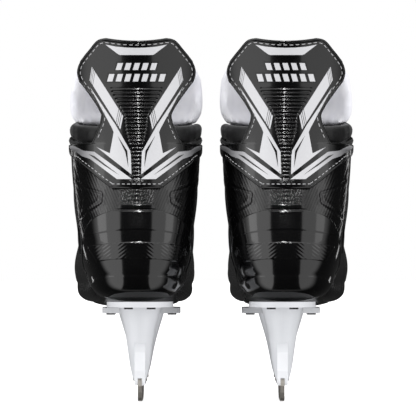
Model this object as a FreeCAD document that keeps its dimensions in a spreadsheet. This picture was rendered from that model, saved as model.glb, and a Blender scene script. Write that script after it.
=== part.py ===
import FreeCAD, Part

import math
import os

import Sketcher

# A pair of ice hockey skates, in millimetres. +X points to the right skate, +Y to the toes, +Z up.
# The origin is on the ice, below the middle of the pair. Every left sub-part is modelled about the
# left skate's own centre line and placed half the pair spacing to the left. The right skate is its
# mirror image.

DIMENSIONS = {
    "pair_spacing": 112.5,
    "boot_length": 288.0,
    "boot_width": 96.0,
    "shell_wall": 2.0,
    "lining_wall": 3.0,
    "layer_gap": 0.2,
    "trim_gap": 0.4,
    "trim_wall": 0.9,
    "stay_wall": 1.1,
    "toe_cap_wall": 2.6,
    "outsole_wall": 4.0,
    "insole_board_wall": 2.0,
    "footbed_wall": 4.0,
    "collar_wall": 9.9,
    "ankle_pad_swell": 6.5,
    "guard_gap": 0.45,
    "guard_wall": 2.4,
    "guard_pad_wall": 6.0,
    "guard_hinge_height": 212.0,
    "guard_top_height": 273.6,
    "tongue_wall": 9.0,
    "tongue_hinge_height": 212.0,
    "tongue_top_height": 257.0,
    "hinge_gap": 3.0,
    "runner_thickness": 3.0,
    "runner_rear_reach": 136.0,
    "runner_front_reach": 143.0,
    "runner_back_height": 24.0,
    "holder_inset": 2.6,
    "holder_foot_height": 13.2,
    "holder_foot_width": 5.6,
    "holder_web_width": 8.0,
    "holder_rear_reach": 133.0,
    "holder_front_reach": 138.0,
    "rear_tower_place": -92.0,
    "front_tower_place": 64.0,
    "rear_flange_height": 71.7,
    "front_flange_height": 65.8,
    "flange_wall": 4.3,
    "rear_flange_width": 50.0,
    "rear_flange_length": 84.0,
    "front_flange_width": 60.0,
    "front_flange_length": 108.0,
    "slot_play": 0.1,
    "bolt_radius": 2.5,
    "bolt_height": 18.6,
    "bolt_length": 11.0,
    "rivet_head_radius": 3.4,
    "rivet_head_height": 1.3,
    "rear_rivet_spread_x": 17.0,
    "rear_rivet_spread_y": 74.6,
    "front_rivet_spread_x": 47.0,
    "front_rivet_pitch": 20.0,
    "eyelet_radius": 3.6,
    "eyelet_hole_radius": 2.0,
    "eyelet_height": 1.2,
}

document = FreeCAD.newDocument("hockey_skates")
sheet = document.addObject("Spreadsheet::Sheet", "Sizes")
for row, (alias, value) in enumerate(DIMENSIONS.items(), start=1):
    sheet.set(f"A{row}", alias)
    sheet.set(f"B{row}", str(value))
    sheet.setAlias(f"B{row}", alias)
document.recompute()

left_pieces = []


def size(alias):
    """One driving dimension, read from the sheet."""
    return float(sheet.get(alias))


def place_left(piece, label, shift="0"):
    """Name a sub-part and put it half the pair spacing to the left of the origin, then shift it."""
    piece.Label = label
    piece.setExpression("Placement.Base.x", f"-Sizes.pair_spacing / 2 + {shift}")
    left_pieces.append(piece)


# ---------------------------------------------------------------- the last
# The last is the foot-shaped surface that the upper is pulled over. Each station gives a point of
# the line under the foot and up the heel (base), the point of the line over the foot and up the
# shin that faces it (crest), the half width to the outer and the inner side, and the fullness of
# the section between them, where 1 is an ellipse and less is squarer. The last three stations are
# above the boot, where the tendon guard and the tongue follow the leg.

STATIONS = [
    # base y, base z, crest y, crest z, outer, inner, fullness
    (144.0, 84.0, 144.0, 92.0, 7.0, 7.0, 0.80),
    (136.0, 77.4, 137.0, 101.0, 29.0, 26.0, 0.68),
    (118.0, 74.8, 120.0, 110.0, 41.5, 37.5, 0.58),
    (90.0, 74.4, 94.0, 118.0, 47.6, 42.2, 0.55),
    (55.0, 74.4, 68.0, 128.0, 49.0, 43.3, 0.54),
    (15.0, 76.2, 42.0, 144.0, 46.4, 42.4, 0.56),
    (-30.0, 80.6, 18.0, 162.0, 44.6, 42.4, 0.60),
    (-80.0, 81.2, 0.0, 177.0, 44.3, 42.3, 0.62),
    (-118.0, 81.4, -12.0, 186.5, 43.8, 41.8, 0.64),
    (-137.0, 94.0, -19.0, 192.5, 44.9, 42.9, 0.70),
    (-140.0, 116.0, -24.0, 196.5, 47.0, 45.1, 0.76),
    (-135.0, 147.0, -28.0, 200.0, 48.9, 47.1, 0.80),
    (-129.5, 176.0, -31.0, 203.5, 49.8, 48.0, 0.84),
    (-128.0, 201.0, -33.0, 209.0, 50.6, 48.8, 0.88),
    (-129.5, 226.0, -35.0, 228.0, 55.0, 54.0, 0.95),
    (-134.0, 252.0, -38.0, 252.0, 58.0, 58.0, 1.00),
    (-141.65, 278.0, -42.0, 278.0, 58.0, 58.0, 1.00),
]
STATION_LENGTH = 288.0
STATION_WIDTH = 96.0
TOP_STATION = len(STATIONS) - 1


def station(position):
    """The last's figures between stations, on a smooth curve through their neighbours."""
    start = min(max(int(math.floor(position)), 0), TOP_STATION - 1)
    part = position - start
    rows = [STATIONS[min(max(start + step, 0), TOP_STATION)] for step in (-1, 0, 1, 2)]
    figures = []
    for before, first, second, after in zip(*rows):
        slope_in = (second - before) / 2
        slope_out = (after - first) / 2
        bend = 3 * (second - first) - 2 * slope_in - slope_out
        twist = 2 * (first - second) + slope_in + slope_out
        figures.append(first + slope_in * part + bend * part ** 2 + twist * part ** 3)
    return figures


def skin_point(position, around):
    """A point of the last: around is 0 under the foot or behind the heel, 1 at the crest."""
    base_y, base_z, crest_y, crest_z, outer, inner, fullness = station(position)
    angle = math.pi * around
    side = math.sin(angle)
    width = inner if side > 0 else -outer
    across = width * abs(side) ** fullness * size("boot_width") / STATION_WIDTH
    along = (1 - math.cos(angle)) / 2
    stretch = size("boot_length") / STATION_LENGTH
    place_y = (base_y + (crest_y - base_y) * along) * stretch
    return FreeCAD.Vector(across, place_y, base_z + (crest_z - base_z) * along)


def last_point(position, around, depth):
    """A point this far below the last's skin, along its normal. A negative depth is outside."""
    here = skin_point(position, around)
    along = skin_point(position + 0.02, around) - skin_point(position - 0.02, around)
    across = skin_point(position, around + 0.006) - skin_point(position, around - 0.006)
    normal = along.cross(across)
    normal.normalize()
    return here + normal * depth


def back_place(across, height):
    """Where on the last a point seen from behind lies, from its place across and its height."""
    low, high = 8.0, float(TOP_STATION)
    around = 0.0
    for _ in range(24):
        middle = (low + high) / 2
        figures = station(middle)
        width = figures[5] if across > 0 else figures[4]
        share = min(abs(across) / (width * size("boot_width") / STATION_WIDTH), 1.0)
        around = math.copysign(math.asin(share ** (1 / figures[6])) / math.pi, across)
        if skin_point(middle, around).z < height:
            low = middle
        else:
            high = middle
    return (low + high) / 2, around


def spline_face(points):
    """A smooth face through a grid of points."""
    surface = Part.BSplineSurface()
    surface.interpolate(points)
    return surface


def thick_panel(outside, inside):
    """A closed solid between two grids of points with the same rows and columns."""
    outer = spline_face(outside)
    inner = spline_face(inside)
    faces = [outer.toShape(), inner.toShape()]
    outer_bounds = outer.bounds()
    inner_bounds = inner.bounds()
    for end in (0, 1):
        rims = (outer.uIso(outer_bounds[end]), inner.uIso(inner_bounds[end]))
        faces.append(Part.makeRuledSurface(rims[0].toShape(), rims[1].toShape()))
        rims = (outer.vIso(outer_bounds[2 + end]), inner.vIso(inner_bounds[2 + end]))
        faces.append(Part.makeRuledSurface(rims[0].toShape(), rims[1].toShape()))
    skin = Part.Compound(faces)
    skin.sewShape()
    solid = Part.Solid(skin.Shells[0])
    if solid.Volume < 0:
        solid.reverse()
    return solid


def steps(start, end, count):
    return [start + (end - start) * index / (count - 1) for index in range(count)]


def last_panel(places, depth_out, depth_in, rows, columns):
    """A panel that lies on the last. places(s, t) gives position and around for s, t in 0 to 1."""
    def grid(depth):
        return [
            [last_point(*places(s, t), depth(s, t)) for t in steps(0, 1, columns)]
            for s in steps(0, 1, rows)
        ]
    return thick_panel(grid(depth_out), grid(depth_in))


def level(depth):
    """A depth that is the same all over a panel."""
    return lambda s, t: depth


def band(low, high, edge_low, edge_high):
    """Places between two positions on the last and two edges that may depend on the position."""
    def places(s, t):
        position = low + (high - low) * s
        first = edge_low(position)
        return position, first + (edge_high(position) - first) * t
    return places


def add_shape(name, shape):
    piece = document.addObject("Part::Feature", name)
    piece.Shape = shape
    place_left(piece, name)


# ---------------------------------------------------------------- the upper

CAP_SEAM = 3.0
SHELL_START = 3.06
SHELL_TOP = 12.62
COLLAR_TOP = 13.2


def throat_edge(position):
    """How far round the last the eyelet row's edge lies."""
    return 0.885 - 0.02 * max(position - 9, 0) / 4


def add_shell():
    places = band(SHELL_START, SHELL_TOP, lambda u: -throat_edge(u), throat_edge)
    shape = last_panel(places, level(0.0), level(size("shell_wall")), 34, 41)
    add_shape("left_quarter_shell", shape)


def add_lining():
    """The textile lining bonded inside the shell."""
    def lining_edge(position):
        return throat_edge(position) - 0.02

    start = size("shell_wall") + size("layer_gap")
    places = band(SHELL_START + 0.05, SHELL_TOP - 0.1, lambda u: -lining_edge(u), lining_edge)
    shape = last_panel(places, level(start), level(start + size("lining_wall")), 34, 41)
    add_shape("left_lining", shape)


def add_collar_pad():
    """The padded roll that stands above the shell's rim, round the ankle."""
    def outside(s, t):
        return 0.6 + 2.4 * s ** 3

    def inside(s, t):
        return 0.6 + size("collar_wall") - 2.0 * s ** 3

    places = band(SHELL_TOP + 0.03, COLLAR_TOP, lambda u: -0.79, lambda u: 0.79)
    shape = last_panel(places, outside, inside, 8, 37)
    add_shape("left_collar_pad", shape)


def add_ankle_pads():
    """Two foam pads inside the lining, one over each ankle bone."""
    start = size("shell_wall") + size("lining_wall") + 2 * size("layer_gap")

    def swell(s, t):
        return start + 1.5 + size("ankle_pad_swell") * math.sin(math.pi * s) * math.sin(math.pi * t)

    pads = []
    for side in (-1, 1):
        places = band(9.6, 12.4, lambda u: side * 0.30, lambda u: side * 0.58)
        pads.append(last_panel(places, level(start), swell, 12, 12))
    add_shape("left_ankle_pads", Part.Compound(pads))


def closed_section(position, wall):
    """A whole section of the last, drawn in towards its middle by a wall."""
    base_y, base_z, crest_y, crest_z = station(position)[:4]
    middle = FreeCAD.Vector(0, (base_y + crest_y) / 2, (base_z + crest_z) / 2)
    points = []
    for index in range(48):
        arm = skin_point(position, -1 + 2 * index / 48) - middle
        points.append(middle + arm * (1 - wall / arm.Length))
    curve = Part.BSplineCurve()
    curve.interpolate(points, PeriodicFlag=True)
    return Part.Wire([curve.toShape()])


def add_toe_cap():
    """The hard cap over the toes, hollow and open towards the foot."""
    outside = [closed_section(u, 0.0) for u in (0.04, 0.35, 0.8, 1.4, 2.0, 2.5, CAP_SEAM)]
    inside = [closed_section(u, size("toe_cap_wall")) for u in (0.8, 1.1, 1.5, 2.0, 2.5, CAP_SEAM + 0.2)]
    add_shape("left_toe_cap", Part.makeLoft(outside, True).cut(Part.makeLoft(inside, True)))


def add_outsole():
    """The stiff plate under the whole foot that the holder is riveted to."""
    def sole_edge(position):
        return 0.225 - 0.03 * math.sin(math.pi * (position - 1) / 7.6)

    places = band(0.75, 8.3, lambda u: -sole_edge(u), sole_edge)
    shape = last_panel(places, level(-size("outsole_wall")), level(-size("trim_gap")), 30, 21)
    add_shape("left_outsole", shape)


def add_insole_board():
    start = size("shell_wall") + size("lining_wall") + 2 * size("layer_gap")
    places = band(3.2, 8.3, lambda u: -0.17, lambda u: 0.17)
    shape = last_panel(places, level(start), level(start + size("insole_board_wall")), 18, 15)
    add_shape("left_insole_board", shape)


def add_footbed():
    """The loose moulded footbed on top of the insole board."""
    start = size("shell_wall") + size("lining_wall") + size("insole_board_wall") + 3 * size("layer_gap")
    places = band(3.25, 8.2, lambda u: -0.18, lambda u: 0.18)
    shape = last_panel(places, level(start), level(start + size("footbed_wall")), 18, 15)
    add_shape("left_footbed", shape)


def add_facings():
    """The eyelet stays: a reinforced strip along each side of the throat."""
    start = -size("layer_gap")
    strips = []
    for side in (-1, 1):
        def lower_edge(position, side=side):
            return side * (throat_edge(position) - 0.085)

        def upper_edge(position, side=side):
            return side * (throat_edge(position) - 0.012)

        places = band(3.75, SHELL_TOP - 0.27, lower_edge, upper_edge)
        strips.append(last_panel(places, level(start - size("stay_wall")), level(start), 24, 5))
    add_shape("left_eyelet_stays", Part.Compound(strips))


EYELET_COUNT = 10


def eyelet_positions(low, high):
    """Positions on the last that are evenly spaced along the row of eyelets."""
    trail = steps(low, high, 121)
    points = [skin_point(position, throat_edge(position)) for position in trail]
    travelled = [0.0]
    for before, after in zip(points, points[1:]):
        travelled.append(travelled[-1] + (after - before).Length)
    positions = []
    for goal in steps(0.0, travelled[-1], EYELET_COUNT):
        nearest = min(range(len(trail)), key=lambda index: abs(travelled[index] - goal))
        positions.append(trail[nearest])
    return positions


def add_eyelets():
    """Two rows of ringed eyelets on the stays."""
    foot = size("stay_wall") + size("layer_gap") + size("trim_gap")
    rings = []
    for side in (-1, 1):
        for position in eyelet_positions(4.1, SHELL_TOP - 0.5):
            around = side * (throat_edge(position) - 0.048)
            base = last_point(position, around, -foot)
            normal = last_point(position, around, -foot - 1) - base
            ring = Part.makeCylinder(size("eyelet_radius"), size("eyelet_height"), base, normal)
            hole = Part.makeCylinder(size("eyelet_hole_radius"), 2 * size("eyelet_height"), base, normal)
            rings.append(ring.cut(hole))
    add_shape("left_eyelets", Part.Compound(rings))


# ---------------------------------------------------------------- the heel

def counter_wall(height):
    """The heel counter's thickness: a foot, a groove, a ribbed band and a ledge under its crest."""
    def ledge(low, high, soft):
        rise = 1 / (1 + math.exp(-(height - low) / soft))
        fall = 1 / (1 + math.exp(-(height - high) / soft))
        return rise - fall
    foot = 1.5 * ledge(60.0, 95.0, 0.8)
    ribbed_band = 1.1 * ledge(108.7, 121.0, 0.8)
    crest = 0.9 * ledge(130.0, 141.0, 0.9)
    return 1.5 + foot + ribbed_band + crest


def add_heel_counter():
    def counter_edge(position):
        return 0.37 - 0.27 * max((position - 9.9) / 1.0, 0) ** 1.6

    places = band(8.95, 10.9, lambda u: -counter_edge(u), counter_edge)

    def outside(s, t):
        return -counter_wall(skin_point(*places(s, t)).z)

    add_shape("left_heel_counter", last_panel(places, outside, level(-0.15), 44, 25))


def add_heel_stay():
    """The small raised plate above the counter's crest."""
    def places(s, t):
        return back_place((t - 0.5) * 2 * (15.0 - 3.0 * s), 150.0 + 7.0 * s)
    add_shape("left_heel_stay", last_panel(places, level(-1.6), level(-0.15), 5, 11))


# ---------------------------------------------------------------- the quarter's trim

def add_side_overlays():
    """The raised angular panel on each side of the shell, between the ankle and the sole."""
    panels = []
    for side in (-1, 1):
        def places(s, t, side=side):
            position = 6.4 + 3.0 * s + 0.9 * t
            return position, side * (0.40 + 0.16 * t + 0.02 * math.sin(math.pi * s))

        start = -size("trim_gap")
        panels.append(last_panel(places, level(start - size("trim_wall")), level(start), 20, 9))
    add_shape("left_side_overlays", Part.Compound(panels))


def add_collar_binding():
    """The tape sewn over the shell's upper edge."""
    places = band(SHELL_TOP - 0.22, SHELL_TOP - 0.01, lambda u: -0.86, lambda u: 0.86)
    shape = last_panel(places, level(-size("trim_wall")), level(-0.1), 4, 41)
    add_shape("left_collar_binding", shape)


# ---------------------------------------------------------------- the tongue

def add_tongue_base():
    """The part of the tongue under the lacing, from the toe cap to the top eyelets."""
    start = size("shell_wall") + size("lining_wall") + 3 * size("layer_gap")

    def half_spread(position):
        return 0.145 + 0.004 * (position - 3)

    places = band(3.2, SHELL_TOP + 0.1, lambda u: 1 - half_spread(u), lambda u: 1 + half_spread(u))
    shape = last_panel(places, level(start), level(start + size("tongue_wall")), 24, 11)
    add_shape("left_tongue_base", shape)


def crest_position(height):
    """The position on the last where the crest line has this height."""
    low, high = 10.0, float(TOP_STATION)
    for _ in range(24):
        middle = (low + high) / 2
        if station(middle)[3] < height:
            low = middle
        else:
            high = middle
    return (low + high) / 2


def add_tongue_top():
    """The free top of the tongue, which folds forward over the lacing."""
    low = crest_position(size("tongue_hinge_height") + size("hinge_gap"))
    high = crest_position(size("tongue_top_height"))

    def spread(position):
        part = (position - low) / (high - low)
        return 0.15 + 0.19 * math.sin(math.pi * min(part * 1.6, 1.0) / 2) - 0.12 * part ** 4

    places = band(low, high, lambda u: 1 - spread(u), lambda u: 1 + spread(u))
    shape = last_panel(places, level(3.0), level(3.0 + size("tongue_wall")), 12, 19)
    add_shape("left_tongue_top", shape)


# ---------------------------------------------------------------- the tendon guard

GUARD_OUTLINE = [
    # height, half width
    (162.0, 19.0), (166.0, 24.0), (172.0, 32.0), (178.0, 40.0), (183.0, 45.5), (193.5, 46.0), (196.0, 34.0),
    (205.0, 30.0), (211.0, 27.4), (216.0, 26.4), (222.0, 29.5), (232.0, 37.5), (240.0, 42.0), (248.5, 44.4),
    (256.0, 42.0), (262.0, 37.0), (268.0, 32.0), (272.0, 29.0), (275.0, 26.0),
]


def guard_half_width(height):
    """The guard's outline from behind: foot, wings at the shell's rim, waist, shoulders, top."""
    for (low, first), (high, second) in zip(GUARD_OUTLINE, GUARD_OUTLINE[1:]):
        if height <= high:
            part = (height - low) / (high - low)
            return first + (second - first) * part
    return GUARD_OUTLINE[-1][1]


def guard_panel(low, high, depth_out, depth_in, inset, rows):
    """A panel with the guard's outline between two heights."""
    def places(s, t):
        height = low + (high - low) * s
        return back_place((t - 0.5) * 2 * (guard_half_width(height) - inset), height)
    return last_panel(places, level(depth_out), level(depth_in), rows, 21)


def add_guard():
    """The tendon guard: a base sewn to the shell and a flexing upper plate with its own pad."""
    inside = -size("trim_wall") - size("guard_gap")
    outside = inside - size("guard_wall")
    hinge = size("guard_hinge_height")
    half_gap = size("hinge_gap") / 2
    add_shape("left_guard_base", guard_panel(162.0, hinge - half_gap, outside, inside, 0.0, 20))
    plate = guard_panel(hinge + half_gap, size("guard_top_height"), outside, inside, 0.0, 20)
    add_shape("left_tendon_guard", plate)
    pad_out = inside + size("layer_gap")
    pad_low = hinge + half_gap + 3.0
    pad_high = size("guard_top_height") - 4.0
    pad = guard_panel(pad_low, pad_high, pad_out, pad_out + size("guard_pad_wall"), 4.0, 16)
    add_shape("left_guard_pad", pad)


# ---------------------------------------------------------------- sketches

def origin_plane(body, role):
    for plane in body.Origin.OriginFeatures:
        if plane.Role == role:
            return plane
    raise ValueError(role)


def new_sketch(body, name, role, lift=""):
    """An empty sketch on one of the body's own origin planes, lifted along the plane's normal."""
    sketch = body.newObject("Sketcher::SketchObject", name)
    sketch.AttachmentSupport = [(origin_plane(body, role), "")]
    sketch.MapMode = "FlatFace"
    if lift:
        sketch.setExpression("AttachmentOffset.Base.z", lift)
    return sketch


def draw_outline(sketch, corners, bound):
    """A closed outline of straight lines. bound names the corner figures tied to the sheet."""
    count = len(corners)
    for index in range(count):
        start = FreeCAD.Vector(*corners[index], 0)
        end = FreeCAD.Vector(*corners[(index + 1) % count], 0)
        sketch.addGeometry(Part.LineSegment(start, end), False)
    for index in range(count):
        sketch.addConstraint(Sketcher.Constraint("Coincident", index, 2, (index + 1) % count, 1))
        across, up = corners[index]
        for letter, kind, figure in (("x", "DistanceX", across), ("y", "DistanceY", up)):
            number = sketch.addConstraint(Sketcher.Constraint(kind, -1, 1, index, 1, figure))
            sketch.renameConstraint(number, f"{letter}{index}")
    for name, expression in bound.items():
        sketch.setExpression(f"Constraints.{name}", expression)


def draw_rounded_box(sketch, width, length, radius, place, bound):
    """A rounded rectangle across X and along Y, with its middle at the given place along Y.
    bound gives the expressions for its place and, where they come from the sheet, its sides."""
    wide, long = width / 2 - radius, length / 2 - radius
    centres = [(wide, long), (-wide, long), (-wide, -long), (wide, -long)]
    for quarter, (x, y) in enumerate(centres):
        circle = Part.Circle(FreeCAD.Vector(x, y + place, 0), FreeCAD.Vector(0, 0, 1), radius)
        start = quarter * math.pi / 2
        sketch.addGeometry(Part.ArcOfCircle(circle, start, start + math.pi / 2), False)
        next_x, next_y = centres[(quarter + 1) % 4]
        swing = FreeCAD.Vector(math.cos(start + math.pi / 2), math.sin(start + math.pi / 2), 0) * radius
        line_start = FreeCAD.Vector(x, y + place, 0) + swing
        line_end = FreeCAD.Vector(next_x, next_y + place, 0) + swing
        sketch.addGeometry(Part.LineSegment(line_start, line_end), False)
    for quarter in range(4):
        arc, line, next_arc = 2 * quarter, 2 * quarter + 1, (2 * quarter + 2) % 8
        sketch.addConstraint(Sketcher.Constraint("Tangent", arc, 2, line, 1))
        sketch.addConstraint(Sketcher.Constraint("Tangent", line, 2, next_arc, 1))
        if quarter:
            sketch.addConstraint(Sketcher.Constraint("Equal", 0, arc))
    sketch.addConstraint(Sketcher.Constraint("Horizontal", 1))
    sketch.addConstraint(Sketcher.Constraint("Vertical", 3))
    sketch.addConstraint(Sketcher.Constraint("Radius", 0, radius))
    sketch.addConstraint(Sketcher.Constraint("Symmetric", 3, 1, 7, 2, -2))
    names = (("width", "DistanceX", 3, 1, 7, 1, width), ("length", "DistanceY", 5, 1, 1, 1, length))
    for name, kind, first, first_end, second, second_end, figure in names:
        rule = Sketcher.Constraint(kind, first, first_end, second, second_end, figure)
        number = sketch.addConstraint(rule)
        sketch.renameConstraint(number, name)
    number = sketch.addConstraint(Sketcher.Constraint("DistanceY", -1, 1, 1, 1, place + length / 2))
    sketch.renameConstraint(number, "place")
    for name in ("width", "length"):
        if name in bound:
            sketch.setExpression(f"Constraints.{name}", bound[name])
    sketch.setExpression("Constraints.place", f"{bound['place']} * 1mm + Constraints.length / 2")


def add_pad(body, name, sketch, length, both_ways):
    pad = body.newObject("PartDesign::Pad", name)
    pad.Profile = sketch
    pad.setExpression("Length", length)
    pad.Midplane = both_ways
    return pad


# ---------------------------------------------------------------- the steel and its holder
# The steel, its holder and their fasteners stand a little to the inner side of the boot's middle.

HOLDER_SHIFT = "Sizes.holder_inset"


def drill_bolt_holes(body, name):
    """Cross holes through the body for the two bolts that clamp the steel."""
    document.recompute()
    whole = body.Shape.Volume
    sketch = new_sketch(body, f"{name}_outline", "YZ_Plane")
    places = ("rear_tower_place", "front_tower_place")
    for number, alias in enumerate(places):
        centre = FreeCAD.Vector(size(alias), size("bolt_height"), 0)
        sketch.addGeometry(Part.Circle(centre, FreeCAD.Vector(0, 0, 1), size("bolt_radius")), False)
        for letter, kind, figure in (("x", "DistanceX", centre.x), ("y", "DistanceY", centre.y)):
            index = sketch.addConstraint(Sketcher.Constraint(kind, -1, 1, number, 3, figure))
            sketch.renameConstraint(index, f"{letter}{number}")
        index = sketch.addConstraint(Sketcher.Constraint("Radius", number, size("bolt_radius")))
        sketch.renameConstraint(index, f"radius{number}")
        sketch.setExpression(f"Constraints.x{number}", f"Sizes.{alias}")
        sketch.setExpression(f"Constraints.y{number}", "Sizes.bolt_height")
        sketch.setExpression(f"Constraints.radius{number}", "Sizes.bolt_radius")
    pocket = body.newObject("PartDesign::Pocket", name)
    pocket.Profile = sketch
    pocket.Midplane = True
    pocket.setExpression("Length", "Sizes.bolt_length + 10")
    document.recompute()
    if body.Shape.Volume > whole - 50:
        raise RuntimeError(f"{name} cut nothing")


# Where the top of the steel, and of its slot, starts to slope down to the heel end.
SLOT_CORNER = -112.0


def add_runner():
    """The steel runner: flat under the arch, rockered to both ends, which are rounded up."""
    body = document.addObject("PartDesign::Body", "left_runner")
    sketch = new_sketch(body, "runner_outline", "YZ_Plane")
    rear, front = -size("runner_rear_reach"), size("runner_front_reach")
    corners = [
        (-28.0, 0.0), (34.0, 0.0), (80.0, 0.5), (110.0, 1.6), (126.0, 3.6), (136.0, 8.0), (front, 16.5),
        (front - 1.5, 20.0), (front - 8.0, 22.5), (118.0, 24.0), (SLOT_CORNER, 24.0), (rear + 5.0, 18.0),
        (rear, 12.8), (rear + 1.5, 8.0), (rear + 6.5, 3.6), (rear + 18.0, 1.6), (-84.0, 0.6),
    ]
    bound = {
        "x6": "Sizes.runner_front_reach",
        "x12": "-Sizes.runner_rear_reach",
        "y9": "Sizes.runner_back_height",
        "y10": "Sizes.runner_back_height",
    }
    draw_outline(sketch, corners, bound)
    add_pad(body, "runner_plate", sketch, "Sizes.runner_thickness", True)
    drill_bolt_holes(body, "runner_bolt_holes")
    place_left(body, "left_runner", HOLDER_SHIFT)


def add_tower(body, end, sections):
    """The rear or front tower of the holder, lofted from its foot up to its flange."""
    place = size(f"{end}_tower_place")
    bound = {"place": f"Sizes.{end}_tower_place"}
    sketches = []
    for number, (height, width, length, radius) in enumerate(sections):
        sketch = new_sketch(body, f"{end}_tower_section_{number}", "XY_Plane", str(height))
        draw_rounded_box(sketch, width, length, radius, place, bound)
        sketches.append(sketch)
    loft = body.newObject("PartDesign::AdditiveLoft", f"{end}_tower_loft")
    loft.Profile = sketches[0]
    loft.Sections = sketches[1:]
    top = new_sketch(body, f"{end}_flange_outline", "XY_Plane", f"Sizes.{end}_flange_height")
    bound["width"] = f"Sizes.{end}_flange_width"
    bound["length"] = f"Sizes.{end}_flange_length"
    width, length = size(f"{end}_flange_width"), size(f"{end}_flange_length")
    draw_rounded_box(top, width, length, width * FLANGE_ROUNDING, place, bound)
    add_pad(body, f"{end}_flange", top, "Sizes.flange_wall", False)


FLANGE_ROUNDING = 0.42
SLOT_HEADROOM = 0.4
TOWER_SECTIONS = {
    # height, width, length, corner radius
    "rear": [(13.2, 6.0, 70.0, 2.9), (20.5, 11.6, 67.0, 5.6), (42.0, 19.0, 56.0, 9.0),
             (60.0, 25.6, 57.0, 12.0), (74.0, 33.0, 66.0, 15.5)],
    "front": [(13.2, 5.6, 88.0, 2.7), (22.0, 12.6, 82.0, 6.0), (40.0, 20.0, 74.0, 9.5),
              (54.0, 27.5, 78.0, 13.2), (67.2, 35.0, 88.0, 17.0)],
}


def add_holder():
    """The moulded blade holder: a web along the steel and a tower with a flange at each end."""
    body = document.addObject("PartDesign::Body", "left_holder")
    web = new_sketch(body, "web_outline", "YZ_Plane")
    foot = size("holder_foot_height")
    corners = [
        (-size("holder_rear_reach"), foot), (size("holder_front_reach"), foot), (134.0, 22.0),
        (124.0, 28.0), (106.0, 36.0), (98.0, 46.0), (40.0, 46.0), (30.0, 36.0), (14.0, 29.5),
        (-10.0, 27.5), (-34.0, 29.5), (-52.0, 37.0), (-64.0, 50.0), (-116.0, 50.0), (-124.0, 38.0),
        (-130.0, 24.0),
    ]
    bound = {
        "x0": "-Sizes.holder_rear_reach",
        "x1": "Sizes.holder_front_reach",
        "y0": "Sizes.holder_foot_height",
        "y1": "Sizes.holder_foot_height",
    }
    draw_outline(web, corners, bound)
    add_pad(body, "web", web, "Sizes.holder_web_width", True)
    for end, sections in TOWER_SECTIONS.items():
        add_tower(body, end, sections)
    document.recompute()
    whole = body.Shape.Volume
    slot = new_sketch(body, "slot_outline", "YZ_Plane")
    top = size("runner_back_height") + SLOT_HEADROOM
    reach = size("boot_length") / 2 + 6.0
    corners = [(-reach, 0.0), (reach, 0.0), (reach, top), (SLOT_CORNER, top), (-131.4, 18.4), (-reach, 18.4)]
    ceiling = f"Sizes.runner_back_height + {SLOT_HEADROOM}"
    draw_outline(slot, corners, {"y2": ceiling, "y3": ceiling})
    pocket = body.newObject("PartDesign::Pocket", "runner_slot")
    pocket.Profile = slot
    pocket.Midplane = True
    pocket.setExpression("Length", "Sizes.runner_thickness + Sizes.slot_play")
    document.recompute()
    if body.Shape.Volume > whole - 5000:
        raise RuntimeError("the slot for the runner was not cut")
    drill_bolt_holes(body, "holder_bolt_holes")
    place_left(body, "left_holder", HOLDER_SHIFT)


def add_cylinders(label, spots, radius, length, along_x):
    """A group of equal upright or crosswise cylinders, each placed by its own foot."""
    pins = []
    for number, (x, y, z) in enumerate(spots):
        pin = document.addObject("Part::Cylinder", f"{label}_{number}")
        pin.setExpression("Radius", f"Sizes.{radius}")
        pin.setExpression("Height", f"Sizes.{length}")
        turn = FreeCAD.Rotation(FreeCAD.Vector(0, 1, 0), 90 if along_x else 0)
        pin.Placement = FreeCAD.Placement(FreeCAD.Vector(x, y, z), turn)
        pins.append(pin)
    group = document.addObject("Part::Compound", f"{label}_group")
    group.Links = pins
    place_left(group, label, HOLDER_SHIFT)


def add_bolts():
    """The bolts through the holder that clamp the steel."""
    side = -size("bolt_length") / 2
    towers = ("rear_tower_place", "front_tower_place")
    spots = [(side, size(alias), size("bolt_height")) for alias in towers]
    add_cylinders("left_runner_bolts", spots, "bolt_radius", "bolt_length", True)


def add_rivets():
    """The rivets whose heads show under the holder's flanges: two rows of two and two of four."""
    low = size("rear_flange_height") - size("rivet_head_height")
    side, reach = size("rear_rivet_spread_x") / 2, size("rear_rivet_spread_y") / 2
    middle = size("rear_tower_place")
    spots = [(x, middle + y, low) for y in (-reach, reach) for x in (-side, side)]
    add_cylinders("left_rear_rivets", spots, "rivet_head_radius", "rivet_head_height", False)
    low = size("front_flange_height") - size("rivet_head_height")
    side, pitch = size("front_rivet_spread_x") / 2, size("front_rivet_pitch")
    middle = size("front_tower_place")
    spots = [(x, middle + row * pitch, low) for row in (-1.5, -0.5, 0.5, 1.5) for x in (-side, side)]
    add_cylinders("left_front_rivets", spots, "rivet_head_radius", "rivet_head_height", False)


add_shell()
add_lining()
add_collar_pad()
add_ankle_pads()
add_toe_cap()
add_outsole()
add_insole_board()
add_footbed()
add_facings()
add_eyelets()
add_heel_counter()
add_heel_stay()
add_side_overlays()
add_collar_binding()
add_tongue_base()
add_tongue_top()
add_guard()
add_runner()
add_holder()
add_bolts()
add_rivets()
document.recompute()

right_pieces = []
for piece in left_pieces:
    label = piece.Label.replace("left_", "right_")
    mirrored = document.addObject("Part::Mirroring", label)
    mirrored.Source = piece
    mirrored.Normal = (1, 0, 0)
    mirrored.Label = label
    right_pieces.append(mirrored)
document.recompute()

for thing in document.Objects:
    if "Invalid" in thing.State or "Error" in thing.State:
        raise RuntimeError(f"{thing.Label} failed: {thing.State}")
for piece in left_pieces + right_pieces:
    if piece.Shape.isNull() or not piece.Shape.isValid():
        raise RuntimeError(f"{piece.Label} has no valid shape")

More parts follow.
